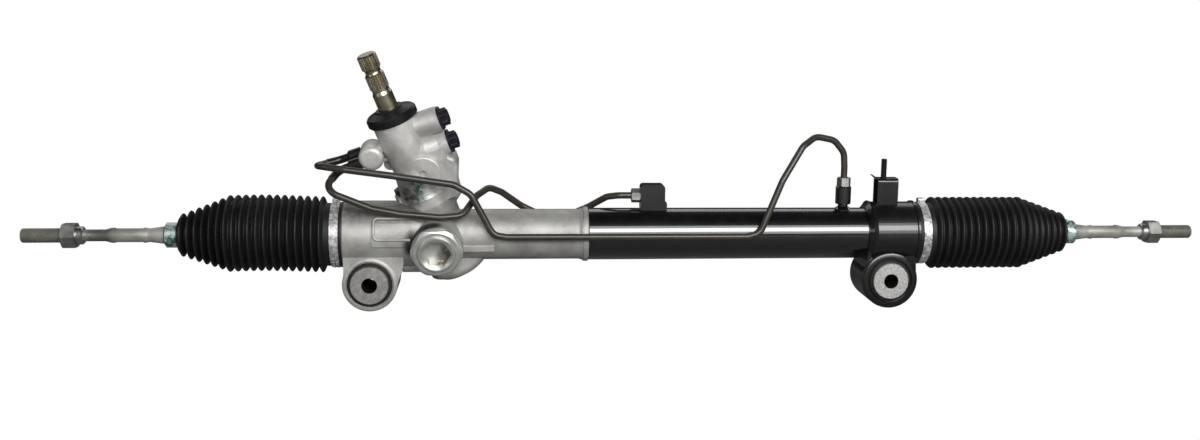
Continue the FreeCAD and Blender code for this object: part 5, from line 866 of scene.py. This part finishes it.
def pips_tree():
    """Ring of small blocks round the rack's axis."""
    sizes = [(label, "NodeSocketFloat") for label in ("Radius", "Place", "Height", "Along", "Across", "Rise")]
    sizes += [("Count", "NodeSocketInt"), ("Material", "NodeSocketMaterial")]
    tree, given = new_tree("pips", sizes)
    circle = tree.nodes.new("GeometryNodeMeshCircle")
    tree.links.new(given["Count"], circle.inputs["Vertices"])
    tree.links.new(given["Radius"], circle.inputs["Radius"])
    pip = tree.nodes.new("GeometryNodeMeshCube")
    size = tree.nodes.new("ShaderNodeCombineXYZ")
    for socket, label in zip(size.inputs, ("Rise", "Across", "Along")):
        tree.links.new(given[label], socket)
    tree.links.new(size.outputs[0], pip.inputs["Size"])
    align = tree.nodes.new("FunctionNodeAlignRotationToVector")
    align.axis = "X"
    align.pivot_axis = "Z"
    tree.links.new(tree.nodes.new("GeometryNodeInputPosition").outputs[0], align.inputs["Vector"])
    spread = tree.nodes.new("GeometryNodeInstanceOnPoints")
    tree.links.new(circle.outputs["Mesh"], spread.inputs["Points"])
    tree.links.new(pip.outputs["Mesh"], spread.inputs["Instance"])
    tree.links.new(align.outputs[0], spread.inputs["Rotation"])
    where = tree.nodes.new("ShaderNodeCombineXYZ")
    tree.links.new(given["Place"], where.inputs[0])
    tree.links.new(given["Height"], where.inputs[2])
    move = tree.nodes.new("GeometryNodeTransform")
    move.inputs["Rotation"].default_value = (0.0, math.pi / 2, 0.0)
    tree.links.new(spread.outputs[0], move.inputs["Geometry"])
    tree.links.new(where.outputs[0], move.inputs["Translation"])
    finish_tree(tree, move.outputs[0], given["Material"])
    return tree


pips = pips_tree()
PIP_ROWS = (("inner", 5.4), ("outer", 9.0))
for side, shoulder, _, outward in SIDES:
    for row, offset in PIP_ROWS:
        piece = grow(side + "_clamp_pips_" + row, pips, {
            "Radius": LIP_RADIUS * MM, "Place": (shoulder + outward * offset) * MM, "Height": RACK_Z * MM,
            "Along": 1.6 * MM, "Across": 2.6 * MM, "Rise": 0.5 * MM, "Count": 44,
        }, "clamp_zinc")
        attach(piece, "housing")


# Stage, camera and light

def camera_from_fit():
    """Camera with the pose and focal length that were fitted to the photo, in mm, radians and pixels."""
    focal_px, centre_x, width = 1286.7, 679.05, 1200.0
    yaw, pitch, roll, rise = 0.139, 0.1653, 0.0209, 0.012
    aside, distance = 125.0, 1279.3
    lift = pitch + rise
    place = Vector((aside, -distance * math.cos(lift), RACK_Z + distance * math.sin(lift))) * MM
    forward = Vector((math.sin(yaw) * math.cos(pitch), math.cos(yaw) * math.cos(pitch), -math.sin(pitch)))
    right = Vector((math.cos(yaw), -math.sin(yaw), 0.0))
    up = right.cross(forward)
    tilted_right = right * math.cos(roll) + up * math.sin(roll)
    tilted_up = up * math.cos(roll) - right * math.sin(roll)
    turn = Matrix((tilted_right, tilted_up, -forward)).transposed().to_4x4()
    data = bpy.data.cameras.new("camera")
    data.sensor_width = 36.0
    data.lens = 36.0 * focal_px / width
    data.shift_x = -(centre_x - width / 2) / width
    data.clip_start = 0.05
    data.clip_end = 20.0
    cam = bpy.data.objects.new("camera", data)
    cam.matrix_world = Matrix.Translation(place) @ turn
    bpy.context.scene.collection.objects.link(cam)
    bpy.context.scene.camera = cam


def area_light(name, place, aim, width, height, power):
    """Soft rectangular lamp turned towards a point."""
    data = bpy.data.lights.new(name, "AREA")
    data.shape = "RECTANGLE"
    data.size = width
    data.size_y = height
    data.energy = power
    obj = bpy.data.objects.new(name, data)
    direction = Vector(aim) - Vector(place)
    obj.rotation_euler = direction.to_track_quat("-Z", "Y").to_euler()
    obj.location = place
    bpy.context.scene.collection.objects.link(obj)


def white_floor():
    """Floor that the camera sees as plain white and the part as a dull grey."""
    size, level = 6.0, -0.0295
    mesh = bpy.data.meshes.new("floor")
    mesh.from_pydata(
        [(-size, -size, level), (size, -size, level), (size, size, level), (-size, size, level)],
        [], [(0, 1, 2, 3)])
    obj = bpy.data.objects.new("floor", mesh)
    bpy.context.scene.collection.objects.link(obj)
    material, nodes, links = new_material("floor_white")
    out = nodes["Material Output"]
    shader = principled(nodes, 0.0, 0.0)
    shader.inputs["Base Color"].default_value = (0.2, 0.2, 0.2, 1)
    shader.inputs["Roughness"].default_value = 1.0
    glow = nodes.new("ShaderNodeEmission")
    glow.inputs["Color"].default_value = (1, 1, 1, 1)
    glow.inputs["Strength"].default_value = 1.0
    path = nodes.new("ShaderNodeLightPath")
    mix = nodes.new("ShaderNodeMixShader")
    links.new(path.outputs["Is Camera Ray"], mix.inputs["Fac"])
    links.new(shader.outputs["BSDF"], mix.inputs[1])
    links.new(glow.outputs["Emission"], mix.inputs[2])
    links.new(mix.outputs["Shader"], out.inputs["Surface"])
    mesh.materials.append(material)


def white_world():
    """Surroundings that the camera sees as white, with less of them in light and in reflections."""
    world = bpy.data.worlds.new("world")
    bpy.context.scene.world = world
    world.use_nodes = True
    nodes, links = world.node_tree.nodes, world.node_tree.links
    back = nodes["Background"]
    back.inputs["Color"].default_value = (1, 1, 1, 1)
    back.inputs["Strength"].default_value = 0.16
    seen = nodes.new("ShaderNodeBackground")
    seen.inputs["Color"].default_value = (1, 1, 1, 1)
    seen.inputs["Strength"].default_value = 1.0
    path = nodes.new("ShaderNodeLightPath")
    mix = nodes.new("ShaderNodeMixShader")
    links.new(path.outputs["Is Camera Ray"], mix.inputs["Fac"])
    mirrored = nodes.new("ShaderNodeBackground")
    mirrored.inputs["Color"].default_value = (1, 1, 1, 1)
    mirrored.inputs["Strength"].default_value = 0.02
    gloss = nodes.new("ShaderNodeMixShader")
    links.new(path.outputs["Is Glossy Ray"], gloss.inputs["Fac"])
    links.new(back.outputs["Background"], gloss.inputs[1])
    links.new(mirrored.outputs["Background"], gloss.inputs[2])
    links.new(gloss.outputs["Shader"], mix.inputs[1])
    links.new(seen.outputs["Background"], mix.inputs[2])
    links.new(mix.outputs["Shader"], nodes["World Output"].inputs["Surface"])


camera_from_fit()
white_floor()
white_world()
MIDDLE, LEFT_END = (0.26, 0.0, 0.05), (0.1, 0.0, 0.05)
area_light("back", (0.26, 0.9, 0.95), MIDDLE, 2.4, 0.6, 5.5)
area_light("front_core", (0.75, -1.56, 0.78), MIDDLE, 1.8, 0.5, 24.5)
area_light("front_wide", (0.5, -1.67, 0.82), MIDDLE, 1.8, 1.2, 20.5)
area_light("left", (-1.3, -0.9, 0.5), LEFT_END, 0.6, 0.6, 2.5)

scene = bpy.context.scene
scene.view_settings.view_transform = "Standard"
